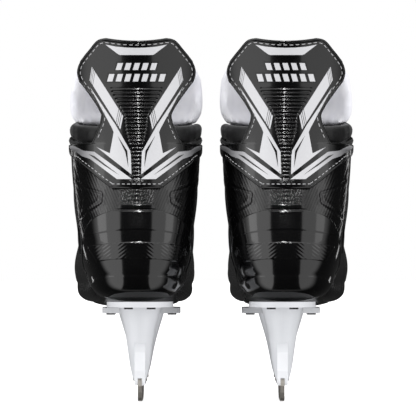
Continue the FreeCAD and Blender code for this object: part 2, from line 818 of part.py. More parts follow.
os.makedirs("parts", exist_ok=True)
for piece in left_pieces + right_pieces:
    piece.Shape.exportStep(f"parts/{piece.Label}.step")
whole = Part.Compound([piece.Shape for piece in left_pieces + right_pieces]).BoundBox
print(f"x {whole.XMin:.2f} to {whole.XMax:.2f}")
print(f"y {whole.YMin:.2f} to {whole.YMax:.2f}")
print(f"z {whole.ZMin:.2f} to {whole.ZMax:.2f}")
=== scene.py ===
import math

import bmesh
import bpy
import numpy as np
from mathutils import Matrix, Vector


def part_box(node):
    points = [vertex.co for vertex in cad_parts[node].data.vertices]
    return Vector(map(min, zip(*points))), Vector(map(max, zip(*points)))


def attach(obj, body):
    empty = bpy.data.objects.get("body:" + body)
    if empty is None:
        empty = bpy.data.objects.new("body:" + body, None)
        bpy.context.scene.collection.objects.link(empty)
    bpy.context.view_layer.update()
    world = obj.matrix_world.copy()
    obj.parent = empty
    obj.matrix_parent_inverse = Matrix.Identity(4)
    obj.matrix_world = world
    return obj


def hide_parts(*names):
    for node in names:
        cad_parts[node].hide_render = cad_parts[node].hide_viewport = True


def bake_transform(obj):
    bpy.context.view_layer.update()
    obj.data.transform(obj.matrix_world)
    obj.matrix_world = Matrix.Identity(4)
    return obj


bl_info = {
    "name": "Hockey Skates",
    "version": (1, 0, 0),
    "blender": (4, 5, 0),
    "location": "3D View > Sidebar > Skates",
    "description": "Builds the visible pieces of a pair of ice hockey skates over its packed frame",
    "category": "Object",
}

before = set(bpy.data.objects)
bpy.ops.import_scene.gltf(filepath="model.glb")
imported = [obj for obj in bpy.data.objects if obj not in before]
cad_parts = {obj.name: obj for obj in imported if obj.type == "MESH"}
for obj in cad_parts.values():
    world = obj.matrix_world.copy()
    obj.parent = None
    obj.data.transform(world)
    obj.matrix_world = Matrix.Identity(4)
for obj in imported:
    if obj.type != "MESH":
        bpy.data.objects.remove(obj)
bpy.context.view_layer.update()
SIDES = (("left", -1), ("right", 1))
MM = 0.001


def pair_spacing():
    """Half the distance between the two skates, in millimetres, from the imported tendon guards."""
    low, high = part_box("right_tendon_guard")
    return (low[0] + high[0]) / 2 / MM


HALF_SPACING = pair_spacing()


# ---------------------------------------------------------------- settings

class SkateSizes(bpy.types.PropertyGroup):
    """Sizes of the trim that a user would change. Each is in metres."""

    stitch_length: bpy.props.FloatProperty(
        name="Stitch Length", description="Length of one visible stitch", default=0.0029, unit="LENGTH")
    stitch_gap: bpy.props.FloatProperty(
        name="Stitch Gap", description="Gap between two stitches", default=0.0017, unit="LENGTH")
    thread_radius: bpy.props.FloatProperty(
        name="Thread Radius", description="Radius of the sewing thread", default=0.00028, unit="LENGTH")
    ridge_pitch: bpy.props.FloatProperty(
        name="Ridge Pitch", description="Distance between two grip ridges", default=0.00275, unit="LENGTH")
    ridge_height: bpy.props.FloatProperty(
        name="Ridge Height", description="Height of a grip ridge", default=0.0006, unit="LENGTH")


class SkateColours(bpy.types.PropertyGroup):
    """Colours of the finishes, as sRGB hex values."""

    shell: bpy.props.StringProperty(name="Shell", description="Moulded boot shell", default="0a0a0b")
    guard: bpy.props.StringProperty(name="Guard", description="Tendon guard", default="0b0b0c")
    knit: bpy.props.StringProperty(name="Knit", description="Collar knit", default="161617")
    silver: bpy.props.StringProperty(name="Silver", description="Printed panels", default="dadadd")
    tongue: bpy.props.StringProperty(name="Tongue", description="Tongue felt", default="fafaff")
    holder: bpy.props.StringProperty(name="Holder", description="Blade holder", default="e3e4e8")
    steel: bpy.props.StringProperty(name="Steel", description="Runner steel", default="b9b4ad")
    thread: bpy.props.StringProperty(name="Thread", description="Sewing thread", default="c2c2c4")


# ---------------------------------------------------------------- the last
# The foot-shaped surface that every panel of the upper lies on, in millimetres, about one skate's
# own centre line. Each station gives a point of the line under the foot and up the heel (base), the
# point of the line over the foot and up the shin that faces it (crest), the half widths to the
# outer and the inner side, and the fullness of the section, where 1 is an ellipse.

STATIONS = [
    (144.0, 84.0, 144.0, 92.0, 7.0, 7.0, 0.80),
    (136.0, 77.4, 137.0, 101.0, 29.0, 26.0, 0.68),
    (118.0, 74.8, 120.0, 110.0, 41.5, 37.5, 0.58),
    (90.0, 74.4, 94.0, 118.0, 47.6, 42.2, 0.55),
    (55.0, 74.4, 68.0, 128.0, 49.0, 43.3, 0.54),
    (15.0, 76.2, 42.0, 144.0, 46.4, 42.4, 0.56),
    (-30.0, 80.6, 18.0, 162.0, 44.6, 42.4, 0.60),
    (-80.0, 81.2, 0.0, 177.0, 44.3, 42.3, 0.62),
    (-118.0, 81.4, -12.0, 186.5, 43.8, 41.8, 0.64),
    (-137.0, 94.0, -19.0, 192.5, 44.9, 42.9, 0.70),
    (-140.0, 116.0, -24.0, 196.5, 47.0, 45.1, 0.76),
    (-135.0, 147.0, -28.0, 200.0, 48.9, 47.1, 0.80),
    (-129.5, 176.0, -31.0, 203.5, 49.8, 48.0, 0.84),
    (-128.0, 201.0, -33.0, 209.0, 50.6, 48.8, 0.88),
    (-129.5, 226.0, -35.0, 228.0, 55.0, 54.0, 0.95),
    (-134.0, 252.0, -38.0, 252.0, 58.0, 58.0, 1.00),
    (-141.65, 278.0, -42.0, 278.0, 58.0, 58.0, 1.00),
]
LAST = np.array(STATIONS)
TOP_STATION = len(STATIONS) - 1
# Positions on the last, counted in stations.
CAP_SEAM = 3.03
SHELL_START = 3.06
SOLE_END = 7.6
SHELL_TOP = 12.62
COLLAR_TOP = 13.2


def station(position):
    """The last's seven figures at each position, on smooth curves through the stations."""
    start = np.clip(np.floor(position).astype(int), 0, TOP_STATION - 1)
    part = (position - start)[..., None]
    before, first, second, after = (LAST[np.clip(start + step, 0, TOP_STATION)] for step in (-1, 0, 1, 2))
    slope_in = (second - before) / 2
    slope_out = (after - first) / 2
    bend = 3 * (second - first) - 2 * slope_in - slope_out
    twist = 2 * (first - second) + slope_in + slope_out
    return np.moveaxis(first + slope_in * part + bend * part ** 2 + twist * part ** 3, -1, 0)


def skin_point(position, around):
    """Points of the last: around is 0 under the foot or behind the heel, 1 at the crest."""
    position, around = np.broadcast_arrays(np.asarray(position, float), np.asarray(around, float))
    base_y, base_z, crest_y, crest_z, outer, inner, fullness = station(position)
    side = np.sin(math.pi * around)
    across = np.where(side > 0, inner, -outer) * np.abs(side) ** fullness
    along = (1 - np.cos(math.pi * around)) / 2
    return np.stack([across, base_y + (crest_y - base_y) * along, base_z + (crest_z - base_z) * along], -1)


def skin_normal(position, around):
    """The last's outward normals."""
    position, around = np.asarray(position, float), np.asarray(around, float)
    along = skin_point(position + 0.02, around) - skin_point(position - 0.02, around)
    across = skin_point(position, around + 0.006) - skin_point(position, around - 0.006)
    normal = np.cross(across, along)
    return normal / np.linalg.norm(normal, axis=-1, keepdims=True)


def off_skin(position, around, height):
    """Points this far outside the last."""
    return skin_point(position, around) + skin_normal(position, around) * np.asarray(height, float)[..., None]


def climb(height, around_at):
    """Where on the last, above the sole, points stand at these heights, as far round as around_at says."""
    low, high = np.full_like(height, SOLE_END), np.full_like(height, TOP_STATION)
    for _ in range(22):
        middle = (low + high) / 2
        around = around_at(middle)
        under = skin_point(middle, around)[..., 2] < height
        low, high = np.where(under, middle, low), np.where(under, high, middle)
    return (low + high) / 2, around


def level_place(around, height):
    """The positions on the last whose points stand at these heights, this far round."""
    return climb(height, lambda position: around)[0]


def back_place(across, height):
    """Where on the last points seen from behind lie, from their places across and heights."""
    def around_at(position):
        figures = station(position)
        share = np.minimum(np.abs(across) / np.where(across > 0, figures[5], figures[4]), 1.0)
        return np.copysign(np.arcsin(share ** (1 / figures[6])) / math.pi, across)
    return climb(height, around_at)


def lifted_place(across, height, lift):
    """Where on the last a face this far outside it is seen at these places across and heights."""
    across, height = np.broadcast_arrays(np.asarray(across, float), np.asarray(height, float))
    aim_across, aim_height = across, height
    for _ in range(4):
        position, around = back_place(aim_across, aim_height)
        spot = off_skin(position, around, lift)
        aim_across = aim_across + across - spot[..., 0]
        aim_height = aim_height + height - spot[..., 2]
    return position, around


def throat_edge(position):
    """How far round the last the eyelet row's edge lies."""
    return 0.885 - 0.02 * np.maximum(position - 9, 0) / 4


def smooth(low, high, value):
    """0 below low, 1 above high and an S curve between them."""
    part = np.clip((value - low) / (high - low), 0.0, 1.0)
    return part * part * (3 - 2 * part)


def ridge(low, high, soft, value):
    """1 between low and high, 0 outside, with soft shoulders."""
    return smooth(low - soft, low + soft, value) - smooth(high - soft, high + soft, value)


def groove(distance, width):
    """1 on a line and 0 well away from it."""
    return np.exp(-(distance / width) ** 2)


def follow(outline, value):
    """Figures from a list of (place, figure), on a smooth curve that never overshoots its points."""
    places, figures = np.array(outline, float).T
    runs = np.diff(figures) / np.diff(places)
    slopes = np.zeros_like(figures)
    same_way = runs[:-1] * runs[1:] > 0
    slopes[1:-1][same_way] = (2 * runs[:-1] * runs[1:])[same_way] / (runs[:-1] + runs[1:])[same_way]
    index = np.clip(np.searchsorted(places, value, side="right") - 1, 0, len(places) - 2)
    span = places[index + 1] - places[index]
    part = np.clip((value - places[index]) / span, 0.0, 1.0)
    first, second = figures[index], figures[index + 1]
    slope_in, slope_out = slopes[index] * span, slopes[index + 1] * span
    bend = 3 * (second - first) - 2 * slope_in - slope_out
    twist = 2 * (first - second) + slope_in + slope_out
    return first + slope_in * part + bend * part ** 2 + twist * part ** 3


def line_distance(path, across, height):
    """Distances from points to a line of straight runs."""
    nearest = np.full_like(across, 1e9)
    for (x1, z1), (x2, z2) in zip(path, path[1:]):
        run_x, run_z = x2 - x1, z2 - z1
        part = ((across - x1) * run_x + (height - z1) * run_z) / (run_x ** 2 + run_z ** 2)
        part = np.clip(part, 0.0, 1.0)
        nearest = np.minimum(nearest, np.hypot(across - x1 - run_x * part, height - z1 - run_z * part))
    return nearest


# ---------------------------------------------------------------- meshes

class Shape:
    """Points in millimetres about the skate's centre line, and faces."""

    def __init__(self, points=(), faces=()):
        self.points = np.array(points, float).reshape(-1, 3)
        self.faces = list(faces)

    def join(self, other):
        shift = len(self.points)
        self.points = np.concatenate([self.points, other.points])
        self.faces += [tuple(index + shift for index in face) for face in other.faces]
        return self


def edge_steps(count, share):
    """Even steps from 0 to 1 with extra ones close to both ends, for a rounded rim."""
    rim = share * np.array([0.0, 0.08, 0.3, 0.62])
    return np.concatenate([rim, np.linspace(share, 1 - share, count), 1 - rim[::-1]])


def travel(points):
    """The length of a line of points."""
    return np.linalg.norm(np.diff(points, axis=0), axis=-1).sum()


def grid_faces(rows, columns, start=0, flip=False, wrap=False):
    """Faces between the rows and columns of a grid of points, numbered from start."""
    faces = []
    for r in range(rows - 1):
        for c in range(columns if wrap else columns - 1):
            n = (c + 1) % columns
            face = (r * columns + c, r * columns + n, (r + 1) * columns + n, (r + 1) * columns + c)
            faces.append(tuple(start + index for index in (reversed(face) if flip else face)))
    return faces


def panel(places, top, bottom, rows, columns, round_edge):
    """A closed panel on the last. Its top and bottom heights above the skin are numbers or functions."""
    even = np.linspace(0, 1, 9)
    middle = np.full(9, 0.5)
    length = travel(skin_point(*places(even, middle)))
    width = travel(skin_point(*places(middle, even)))
    down = edge_steps(rows, min(round_edge / length, 0.3))
    over = edge_steps(columns, min(round_edge / width, 0.3))
    s, t = np.meshgrid(down, over, indexing="ij")
    position, around = places(s, t)
    skin, normal = skin_point(position, around), skin_normal(position, around)
    face, low = (height(s, t, skin) if callable(height) else height for height in (top, bottom))
    rim = np.minimum(np.minimum(s, 1 - s) * length, np.minimum(t, 1 - t) * width) / round_edge
    crown = 0.12 + 0.88 * np.sqrt(1 - (1 - np.minimum(rim, 1.0)) ** 2)
    high = low + (face - low) * crown
    count, wide, whole = len(down), len(over), s.size
    points = [skin + normal * np.broadcast_to(height, s.shape)[..., None] for height in (high, low)]
    shape = Shape(np.concatenate([grid.reshape(-1, 3) for grid in points]))
    shape.faces = grid_faces(count, wide) + grid_faces(count, wide, whole, True)
    last = (count - 1) * wide
    for c in range(wide - 1):
        shape.faces.append((c, c + whole, c + 1 + whole, c + 1))
        shape.faces.append((last + c, last + c + 1, last + c + 1 + whole, last + c + whole))
    for r in range(count - 1):
        here, below = r * wide, (r + 1) * wide
        shape.faces.append((here, below, below + whole, here + whole))
        here, below = here + wide - 1, below + wide - 1
        shape.faces.append((here, here + whole, below + whole, below))
    return shape


def tube(path, normals, radius, flatten=1.0, sides=8, closed=False):
    """A bead along a path, flattened along the normals."""
    ahead, behind = np.roll(path, -1, 0), np.roll(path, 1, 0)
    if not closed:
        ahead[-1], behind[0] = path[-1], path[0]
    tangent = ahead - behind
    side = np.cross(tangent, normals)
    side /= np.linalg.norm(side, axis=-1, keepdims=True)
    angle = np.linspace(0, 2 * math.pi, sides, endpoint=False)[None, :, None]
    ring = side[:, None] * np.cos(angle) + normals[:, None] * np.sin(angle) * flatten
    points = path[:, None] + ring * radius
    shape = Shape(points, grid_faces(len(path), sides, flip=True, wrap=True))
    last = (len(path) - 1) * sides
    if closed:
        shape.faces += [(last + (c + 1) % sides, last + c, c, (c + 1) % sides) for c in range(sides)]
    else:
        shape.faces.append(tuple(range(sides)))
        shape.faces.append(tuple(last + index for index in reversed(range(sides))))
    return shape


def stitches(path, normals, scale=1.0):
    """Separate stitches along a path: each dips into the material at both ends."""
    sizes = bpy.context.scene.skate_sizes
    length, gap = sizes.stitch_length / MM * scale, sizes.stitch_gap / MM * scale
    radius = sizes.thread_radius / MM
    reach = np.concatenate([[0.0], np.cumsum(np.linalg.norm(np.diff(path, axis=0), axis=-1))])
    lifts = np.array([-0.9, 0.25, 0.75, 0.25, -0.9])
    shape = Shape()
    for number in range(int(reach[-1] / (length + gap))):
        places = number * (length + gap) + gap / 2 + length * np.array([0.0, 0.12, 0.5, 0.88, 1.0])
        spots = np.stack([np.interp(places, reach, path[:, axis]) for axis in range(3)], -1)
        ups = np.stack([np.interp(places, reach, normals[:, axis]) for axis in range(3)], -1)
        shape.join(tube(spots + ups * (radius * lifts)[:, None], ups, radius, 0.8, 6))
    return shape


def swell(shape, cap, voxel=4.5):
    """A padded shape swollen by cloth simulation, with no point moved further than the cap."""
    scene = bpy.context.scene
    mesh = bpy.data.meshes.new("padding")
    mesh.from_pydata((shape.points * MM).tolist(), [], shape.faces)
    piece = bpy.data.objects.new("padding", mesh)
    scene.collection.objects.link(piece)

    def settled():
        return bpy.data.meshes.new_from_object(piece.evaluated_get(bpy.context.evaluated_depsgraph_get()))

    remesh = piece.modifiers.new("even", "REMESH")
    remesh.mode = "VOXEL"
    remesh.voxel_size = voxel * MM
    even = settled()
    piece.modifiers.clear()
    piece.data = even
    home = np.array([vert.co for vert in even.vertices])
    cloth = piece.modifiers.new("swell", "CLOTH")
    cloth.settings.use_pressure = True
    cloth.settings.uniform_pressure_force = 4.0
    cloth.settings.effector_weights.gravity = 0
    for number in range(1, 21):
        scene.frame_set(number)
    blown = settled()
    piece.modifiers.clear()
    move = np.array([vert.co for vert in blown.vertices]) - home
    size = np.linalg.norm(move, axis=-1, keepdims=True)
    ends = home + move * np.minimum(1.0, cap * MM / np.maximum(size, 1e-9))
    blown.vertices.foreach_set("co", ends.ravel())
    piece.data = blown
    fine = piece.modifiers.new("fine", "SUBSURF")
    fine.levels = 1
    result = settled()
    points = np.array([vert.co for vert in result.vertices]) / MM
    faces = [tuple(face.vertices) for face in result.polygons]
    bpy.data.objects.remove(piece)
    scene.frame_set(1)
    return Shape(points, faces)


def colour_of(hex_value):
    """An sRGB hex value as linear red, green, blue and alpha."""
    channels = [int(hex_value[index:index + 2], 16) / 255 for index in (0, 2, 4)]
    linear = [c / 12.92 if c <= 0.04045 else ((c + 0.055) / 1.055) ** 2.4 for c in channels]
    return (*linear, 1.0)


def put(name, shape, material, body="skate", replaces=(), blend=None, crease=None):
    """One left and one right object from a shape. Given blend, the piece is left unparented with its
    transform baked in; the flexing body, start and end that blend names are not used.
    """
    for side, sign in SIDES:
        mesh = bpy.data.meshes.new(f"{side}_{name}")
        centre = sign * HALF_SPACING * MM
        points = shape.points * (MM if sign < 0 else -MM, MM, MM) + (centre, 0, 0)
        faces = shape.faces if sign < 0 else [face[::-1] for face in shape.faces]
        mesh.from_pydata(points.tolist(), [], faces)
        corners = np.zeros(len(mesh.loops), int)
        mesh.loops.foreach_get("vertex_index", corners)
        flat = (points[corners][:, (0, 2)] - (centre, 0)) / (100 * MM)
        mesh.uv_layers.new(name="flat").data.foreach_set("uv", flat.ravel())
        mesh.polygons.foreach_set("use_smooth", [True] * len(mesh.polygons))
        mesh.materials.append(material)
        piece = bpy.data.objects.new(f"{side}_{name}", mesh)
        bpy.context.scene.collection.objects.link(piece)
        if crease:
            mesh.set_sharp_from_angle(angle=math.radians(crease))
        if replaces:
            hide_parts(*[f"{side}_{node}" for node in replaces])
        if blend:
            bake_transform(piece)
        else:
            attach(piece, f"{side}_{body}")


GUARD_BEND = ("guard_flap", (-129.0, 206.0), (-129.0, 219.0))
TONGUE_BEND = ("tongue_flap", (-40.0, 205.0), (-40.0, 219.0))


# ---------------------------------------------------------------- materials

def add_node(tree, kind, settings=None, links=None):
    """Adds a node, sets its properties and sockets, and links its inputs to other nodes' outputs."""
    node = tree.nodes.new(f"ShaderNode{kind}")
    for name, value in (settings or {}).items():
        if isinstance(name, int) or name in node.inputs:
            node.inputs[name].default_value = value
        else:
            setattr(node, name, value)
    for name, output in (links or {}).items():
        tree.links.new(output, node.inputs[name])
    return node


def glossy(rough, coat, coat_rough):
    """Shader settings of a clear-coated plastic."""
    skin = {"Coat Weight": coat, "Coat Roughness": coat_rough, "Coat IOR": 1.5}
    return {"Roughness": rough, "IOR": 1.5, **skin}


class Finish:
    """A material with one Principled shader, whose patterns are laid out in metres."""

    def __init__(self, name, shader):
        self.material = bpy.data.materials.new(name)
        self.material.use_nodes = True
        self.tree = self.material.node_tree
        self.tree.nodes.clear()
        output = add_node(self.tree, "OutputMaterial")
        self.shader = add_node(self.tree, "BsdfPrincipled", shader)
        self.tree.links.new(self.shader.outputs["BSDF"], output.inputs["Surface"])
        self.place = add_node(self.tree, "TexCoord").outputs["Object"]

    def noise(self, scale, detail=2.0, roughness=0.5, place=None):
        settings = {"Scale": scale, "Detail": detail, "Roughness": roughness}
        return add_node(self.tree, "TexNoise", settings, {"Vector": place or self.place}).outputs["Fac"]

    def cells(self, settings):
        return add_node(self.tree, "TexVoronoi", settings, {"Vector": self.place}).outputs["Distance"]

    def behind(self):
        """Distance from the skate's middle, and height, in tenths of a metre as seen from behind."""
        flat = add_node(self.tree, "UVMap", {"uv_map": "flat"}).outputs["UV"]
        split = add_node(self.tree, "SeparateXYZ", links={"Vector": flat})
        away = add_node(self.tree, "Math", {"operation": "ABSOLUTE"}, {0: split.outputs["X"]})
        return away.outputs["Value"], split.outputs["Y"]

    def span(self, factor, settings):
        return add_node(self.tree, "MapRange", settings, {"Value": factor}).outputs["Result"]

    def colour(self, factor, dark, light, low=0.3, high=0.7):
        """Ties the base colour to a factor between two sRGB hex colours."""
        ramp = add_node(self.tree, "ValToRGB", links={"Fac": factor})
        for element, position, hex_value in zip(ramp.color_ramp.elements, (low, high), (dark, light)):
            element.position = position
            element.color = colour_of(hex_value)
        self.tree.links.new(ramp.outputs["Color"], self.shader.inputs["Base Color"])

    def roughness(self, factor, low, high):
        """Ties the roughness to a factor."""
        spread = self.span(factor, {"To Min": low, "To Max": high})
        self.tree.links.new(spread, self.shader.inputs["Roughness"])

    def bump(self, *heights):
        """Chains bumps of (height output, distance in metres, strength) into the shader's normal."""
        normal = self.shader.inputs["Normal"]
        for height, distance, strength in reversed(heights):
            settings = {"Distance": distance, "Strength": strength}
            node = add_node(self.tree, "Bump", settings, {"Height": height})
            self.tree.links.new(node.outputs["Normal"], normal)
            normal = node.inputs["Normal"]


def moulded_gloss(name, base, lit, rough, coat, grain_mm=0.45):
    """Injection-moulded plastic: a near-black body colour under a clear gloss with a faint flow."""
    finish = Finish(name, glossy(rough, coat, 0.06))
    flow = finish.noise(55.0, 3.0)
    finish.colour(flow, base, lit)
    finish.roughness(finish.noise(420.0, 6.0, 0.7), rough * 0.75, rough * 1.3)
    finish.bump((flow, 0.00018, 0.35), (finish.noise(1 / (grain_mm * MM)), 0.00003, 0.25))
    return finish.material


def shell_material():
    """Thermoformed composite shell: gloss black over a twill, so fine slanted ribs catch the light."""
    finish = Finish("thermoformed_composite", glossy(0.2, 0.6, 0.05))
    # The ribs are 2.1 mm apart and lean outwards going up. A wave repeats 20 times in 2 pi over its scale.
    scale = math.pi / 10 / 0.021
    away, height = finish.behind()
    leant = add_node(finish.tree, "Math", {"operation": "MULTIPLY_ADD", 1: -0.42}, {0: height, 2: away})
    across = add_node(finish.tree, "CombineXYZ", links={"X": leant.outputs["Value"]})
    ribs = add_node(finish.tree, "TexWave", {"Scale": scale}, {"Vector": across.outputs["Vector"]})
    cloudy, fine = finish.noise(30.0, 3.0), finish.noise(900.0, 4.0)
    finish.colour(cloudy, "060607", bpy.context.scene.skate_colours.shell)
    finish.roughness(fine, 0.14, 0.28)
    finish.bump((cloudy, 0.0004, 0.3), (fine, 0.00003, 0.2), (ribs.outputs["Fac"], 0.0003, 0.35))
    return finish.material


def felt_material():
    """White padded felt: soft short fibres, a fine knit backing and a slightly cooler tone in random patches.
    """
    finish = Finish("needled_felt", {"Roughness": 0.9, "Sheen Weight": 0.35, "Sheen Roughness": 0.5})
    # Single fibres are too fine to show, so the clumps are drawn 0.9 mm wide.
    fibre, mottle = finish.noise(1 / 0.0009, 6.0, 0.75), finish.noise(70.0)
    finish.colour(mottle, "eeeef6", bpy.context.scene.skate_colours.tongue)
    finish.bump((mottle, 0.0008, 0.25), (fibre, 0.00025, 0.4))
    return finish.material


def knit_material(name, dark, light, pitch_mm, sheen=0.25, rough=0.7):
    """Warp-knitted polyester over foam: rows of tiny loops that give a soft sheen."""
    finish = Finish(name, {"Roughness": rough, "Sheen Weight": sheen, "Sheen Roughness": 0.4})
    scale = 1 / (pitch_mm * MM)
    loops = finish.cells({"Scale": scale, "feature": "SMOOTH_F1", "Smoothness": 0.4})
    fuzz = finish.noise(scale * 2.3, 4.0)
    finish.colour(loops, light, dark, 0.1, 0.6)
    finish.roughness(fuzz, rough - 0.1, rough + 0.2)
    finish.bump((finish.noise(60.0), 0.0008, 0.3), (loops, 0.0003, 0.5), (fuzz, 0.0001, 0.3))
    return finish.material


def silver_material():
    """Silver screen-printed film, heat-pressed on: bright, with grey shade painted on towards the wing tips,
    where the wings wrap round the boot's sides.
    """
    finish = Finish("printed_silver_film", {"Roughness": 0.38, "Metallic": 0.15, "IOR": 1.5})
    away, height = finish.behind()
    # Painted shade: the silver turns grey away from the middle and below the wings' top, where the wings wrap
    # round the sides, away from the light.
    wing_shade_across = finish.span(away, {"From Min": 0.22, "From Max": 0.47})
    low = finish.span(height, {"From Min": 1.98, "From Max": 1.90})
    painted_wing_shade = add_node(finish.tree, "Math", {"operation": "MULTIPLY"}, {0: wing_shade_across, 1: low})
    speck = finish.noise(1400.0, 3.0)
    finish.colour(painted_wing_shade.outputs["Value"], bpy.context.scene.skate_colours.silver, "58585b", 0.0, 1.0)
    finish.roughness(speck, 0.3, 0.46)
    finish.bump((speck, 0.00003, 0.25))
    return finish.material


def steel_material():
    """Hardened stainless steel ground along its length: fine straight scratches stretch the light."""
    finish = Finish("ground_stainless_steel", {"Roughness": 0.4, "Metallic": 0.7})
    # The wheel's grit marks are about 0.2 mm apart and run along the blade.
    stretched = add_node(finish.tree, "Mapping", {"Scale": (900.0, 25.0, 5000.0)}, {"Vector": finish.place})
    scratches = finish.noise(1.0, 4.0, place=stretched.outputs["Vector"])
    finish.colour(finish.noise(90.0, 4.0), "a39e97", bpy.context.scene.skate_colours.steel)
    finish.roughness(scratches, 0.3, 0.5)
    finish.bump((scratches, 0.00004, 0.5))
    return finish.material


def holder_material():
    """Injection-moulded nylon, white: a satin gloss skin that scatters a little light inside."""
    shader = {"Roughness": 0.3, "IOR": 1.53, "Coat Weight": 0.2, "Coat Roughness": 0.12,
              "Subsurface Weight": 0.08, "Subsurface Radius": (0.004, 0.004, 0.004)}
    finish = Finish("moulded_white_nylon", shader)
    fine = finish.noise(1600.0)
    finish.colour(finish.noise(26.0, 3.0), "d8dade", bpy.context.scene.skate_colours.holder)
    finish.roughness(fine, 0.25, 0.4)
    finish.bump((fine, 0.00002, 0.3))
    return finish.material


def thread_material(name, light):
    """Bonded polyester thread: two twisted plies with a slight shine."""
    finish = Finish(name, {"Roughness": 0.55, "Sheen Weight": 0.2})
    settings = {"Scale": 700.0, "Distortion": 2.0}
    ply = add_node(finish.tree, "TexWave", settings, {"Vector": finish.place}).outputs["Fac"]
    finish.colour(ply, light, light)
    finish.bump((ply, 0.0002, 0.5))
    return finish.material


def light_table_material():
    """White acrylic lit from below: an even pale floor that keeps only a whisper of shadow."""
    shader = {"Roughness": 0.9, "Emission Color": (1, 1, 1, 1), "Emission Strength": 0.72}
    finish = Finish("lit_white_acrylic", shader)
    finish.colour(finish.noise(6.0), "f4f4f4", "fafafa")
    return finish.material


def guard_material():
    """Injection-moulded thermoplastic, charcoal: satin gloss with a faint leather grain in the mould."""
    finish = Finish("moulded_charcoal_guard", glossy(0.18, 0.6, 0.05))
    # The mould's grain is 0.7 mm from pebble to pebble.
    pebble = finish.cells({"Scale": 1 / 0.0007, "feature": "DISTANCE_TO_EDGE"})
    cloudy = finish.noise(40.0, 3.0)
    finish.colour(cloudy, "070708", bpy.context.scene.skate_colours.guard)
    finish.roughness(finish.noise(500.0, 5.0, 0.7), 0.14, 0.24)
    finish.bump((cloudy, 0.0003, 0.2), (pebble, 0.00003, 0.1))
    return finish.material


# ---------------------------------------------------------------- the boot

def band(low, high, reach):
    """Places between two positions on the last. reach, a number or a function, is how far round they go."""
    def places(s, t):
        position = low + (high - low) * s
        half = reach(position) if callable(reach) else reach
        return position, -half + 2 * half * t
    return places


# Moulded lines on the back quarters, as places across and heights: the angular panel on each side
# and the long line outside it.
SIDE_PANEL_LINE = ((45.0, 166.5), (37.5, 161.5), (26.0, 157.8), (26.9, 150.8), (38.5, 143.5), (46.0, 134.0))
OUTER_SWEEP = ((47.5, 180.0), (42.8, 163.0), (41.0, 152.0), (42.6, 141.0))


def quarter_relief(s, t, skin):
    """The shell's outer face: moulded lines, a spine up the back and full sides over the sole."""
    away, height = np.abs(skin[..., 0]), skin[..., 2]
    behind = smooth(-30.0, -50.0, skin[..., 1])
    outline = line_distance(SIDE_PANEL_LINE, away, height)
    relief = 0.22 * groove(outline - 1.9, 1.2) - 0.3 * groove(outline, 0.9)
    relief -= 0.2 * groove(line_distance(OUTER_SWEEP, away, height), 0.8)
    heel = smooth(-100.0, -112.0, skin[..., 1]) * ridge(144.0, 166.0, 2.0, height)
    relief += heel * 0.7 * groove(away, 3.2) * (0.7 + 0.3 * np.sin(height * 1.9))
    relief = relief * behind
    low_side = smooth(-40.0, 0.0, skin[..., 1]) * ridge(76.0, 86.0, 4.5, height) * smooth(16.0, 32.0, away)
    return relief + 5.0 * low_side


class SKATES_OT_shell(bpy.types.Operator):
    """The hard shell round the heel and both sides, with its moulded lines"""

    bl_idname = "skates.shell"
    bl_label = "Shell"

    def execute(self, context):
        def places(s, t):
            # Two thirds of the rows and most columns lie on the back, where the moulded lines are.
            position = np.where(s < 0.34, SHELL_START + (8.8 - SHELL_START) * s / 0.34,
                                8.8 + (SHELL_TOP - 8.8) * (s - 0.34) / 0.66)
            across = 2 * t - 1
            spread = np.where(np.abs(across) < 0.7, across * 0.5 / 0.7,
                              np.copysign(0.5 + (np.abs(across) - 0.7) / 0.3 * 0.5, across))
            return position, spread * throat_edge(position)

        shape = panel(places, quarter_relief, -2.0, 250, 230, 1.6)
        put("quarter_shell", shape, shell_material(), replaces=["quarter_shell"])
        return {"FINISHED"}


class SKATES_OT_outsole(bpy.types.Operator):
    """The stiff plate under the foot, with a rounded edge that blends into the shell"""

    bl_idname = "skates.outsole"
    bl_label = "Outsole"

    def execute(self, context):
        def half(position):
            return 0.19 - 0.02 * np.sin(math.pi * (position - 1) / 7.6)

        places = band(0.75, 8.3, half)
        shape = panel(places, 4.0, 0.4, 90, 40, 3.5)
        plate = moulded_gloss("pressed_composite_sole", "0a0a0b", "121213", 0.3, 0.3, 1.2)
        put("outsole", shape, plate, replaces=["outsole"])
        return {"FINISHED"}


class SKATES_OT_lining(bpy.types.Operator):
    """The knitted lining inside the shell, with its foam pads over the ankle bones"""

    bl_idname = "skates.lining"
    bl_label = "Lining"

    def execute(self, context):
        def reach(position):
            return throat_edge(position) - 0.02

        places = band(SHELL_START + 0.05, SHELL_TOP - 0.1, reach)

        def inside(s, t, skin):
            position, around = places(s, t)
            pad = ridge(9.9, 12.1, 0.6, position) * ridge(0.34, 0.56, 0.1, np.abs(around))
            return -5.2 - 5.0 * pad

        shape = panel(places, -2.2, inside, 70, 100, 1.0)
        material = knit_material("brushed_knit", "2c2c2f", "4a4a4e", 1.1)
        put("lining", shape, material, replaces=["lining", "ankle_pads"])
        return {"FINISHED"}


def cap_section(position, wall, columns):
    """One section of the toe cap, drawn in towards its middle by a wall."""
    around = np.linspace(-1, 1, columns, endpoint=False)
    points = skin_point(position, around)
    figures = station(np.array([position]))
    middle = np.array([0.0, (figures[0] + figures[2])[0] / 2, (figures[1] + figures[3])[0] / 2])
    arm = points - middle
    return middle + arm * (1 - wall / np.linalg.norm(arm, axis=-1, keepdims=True))


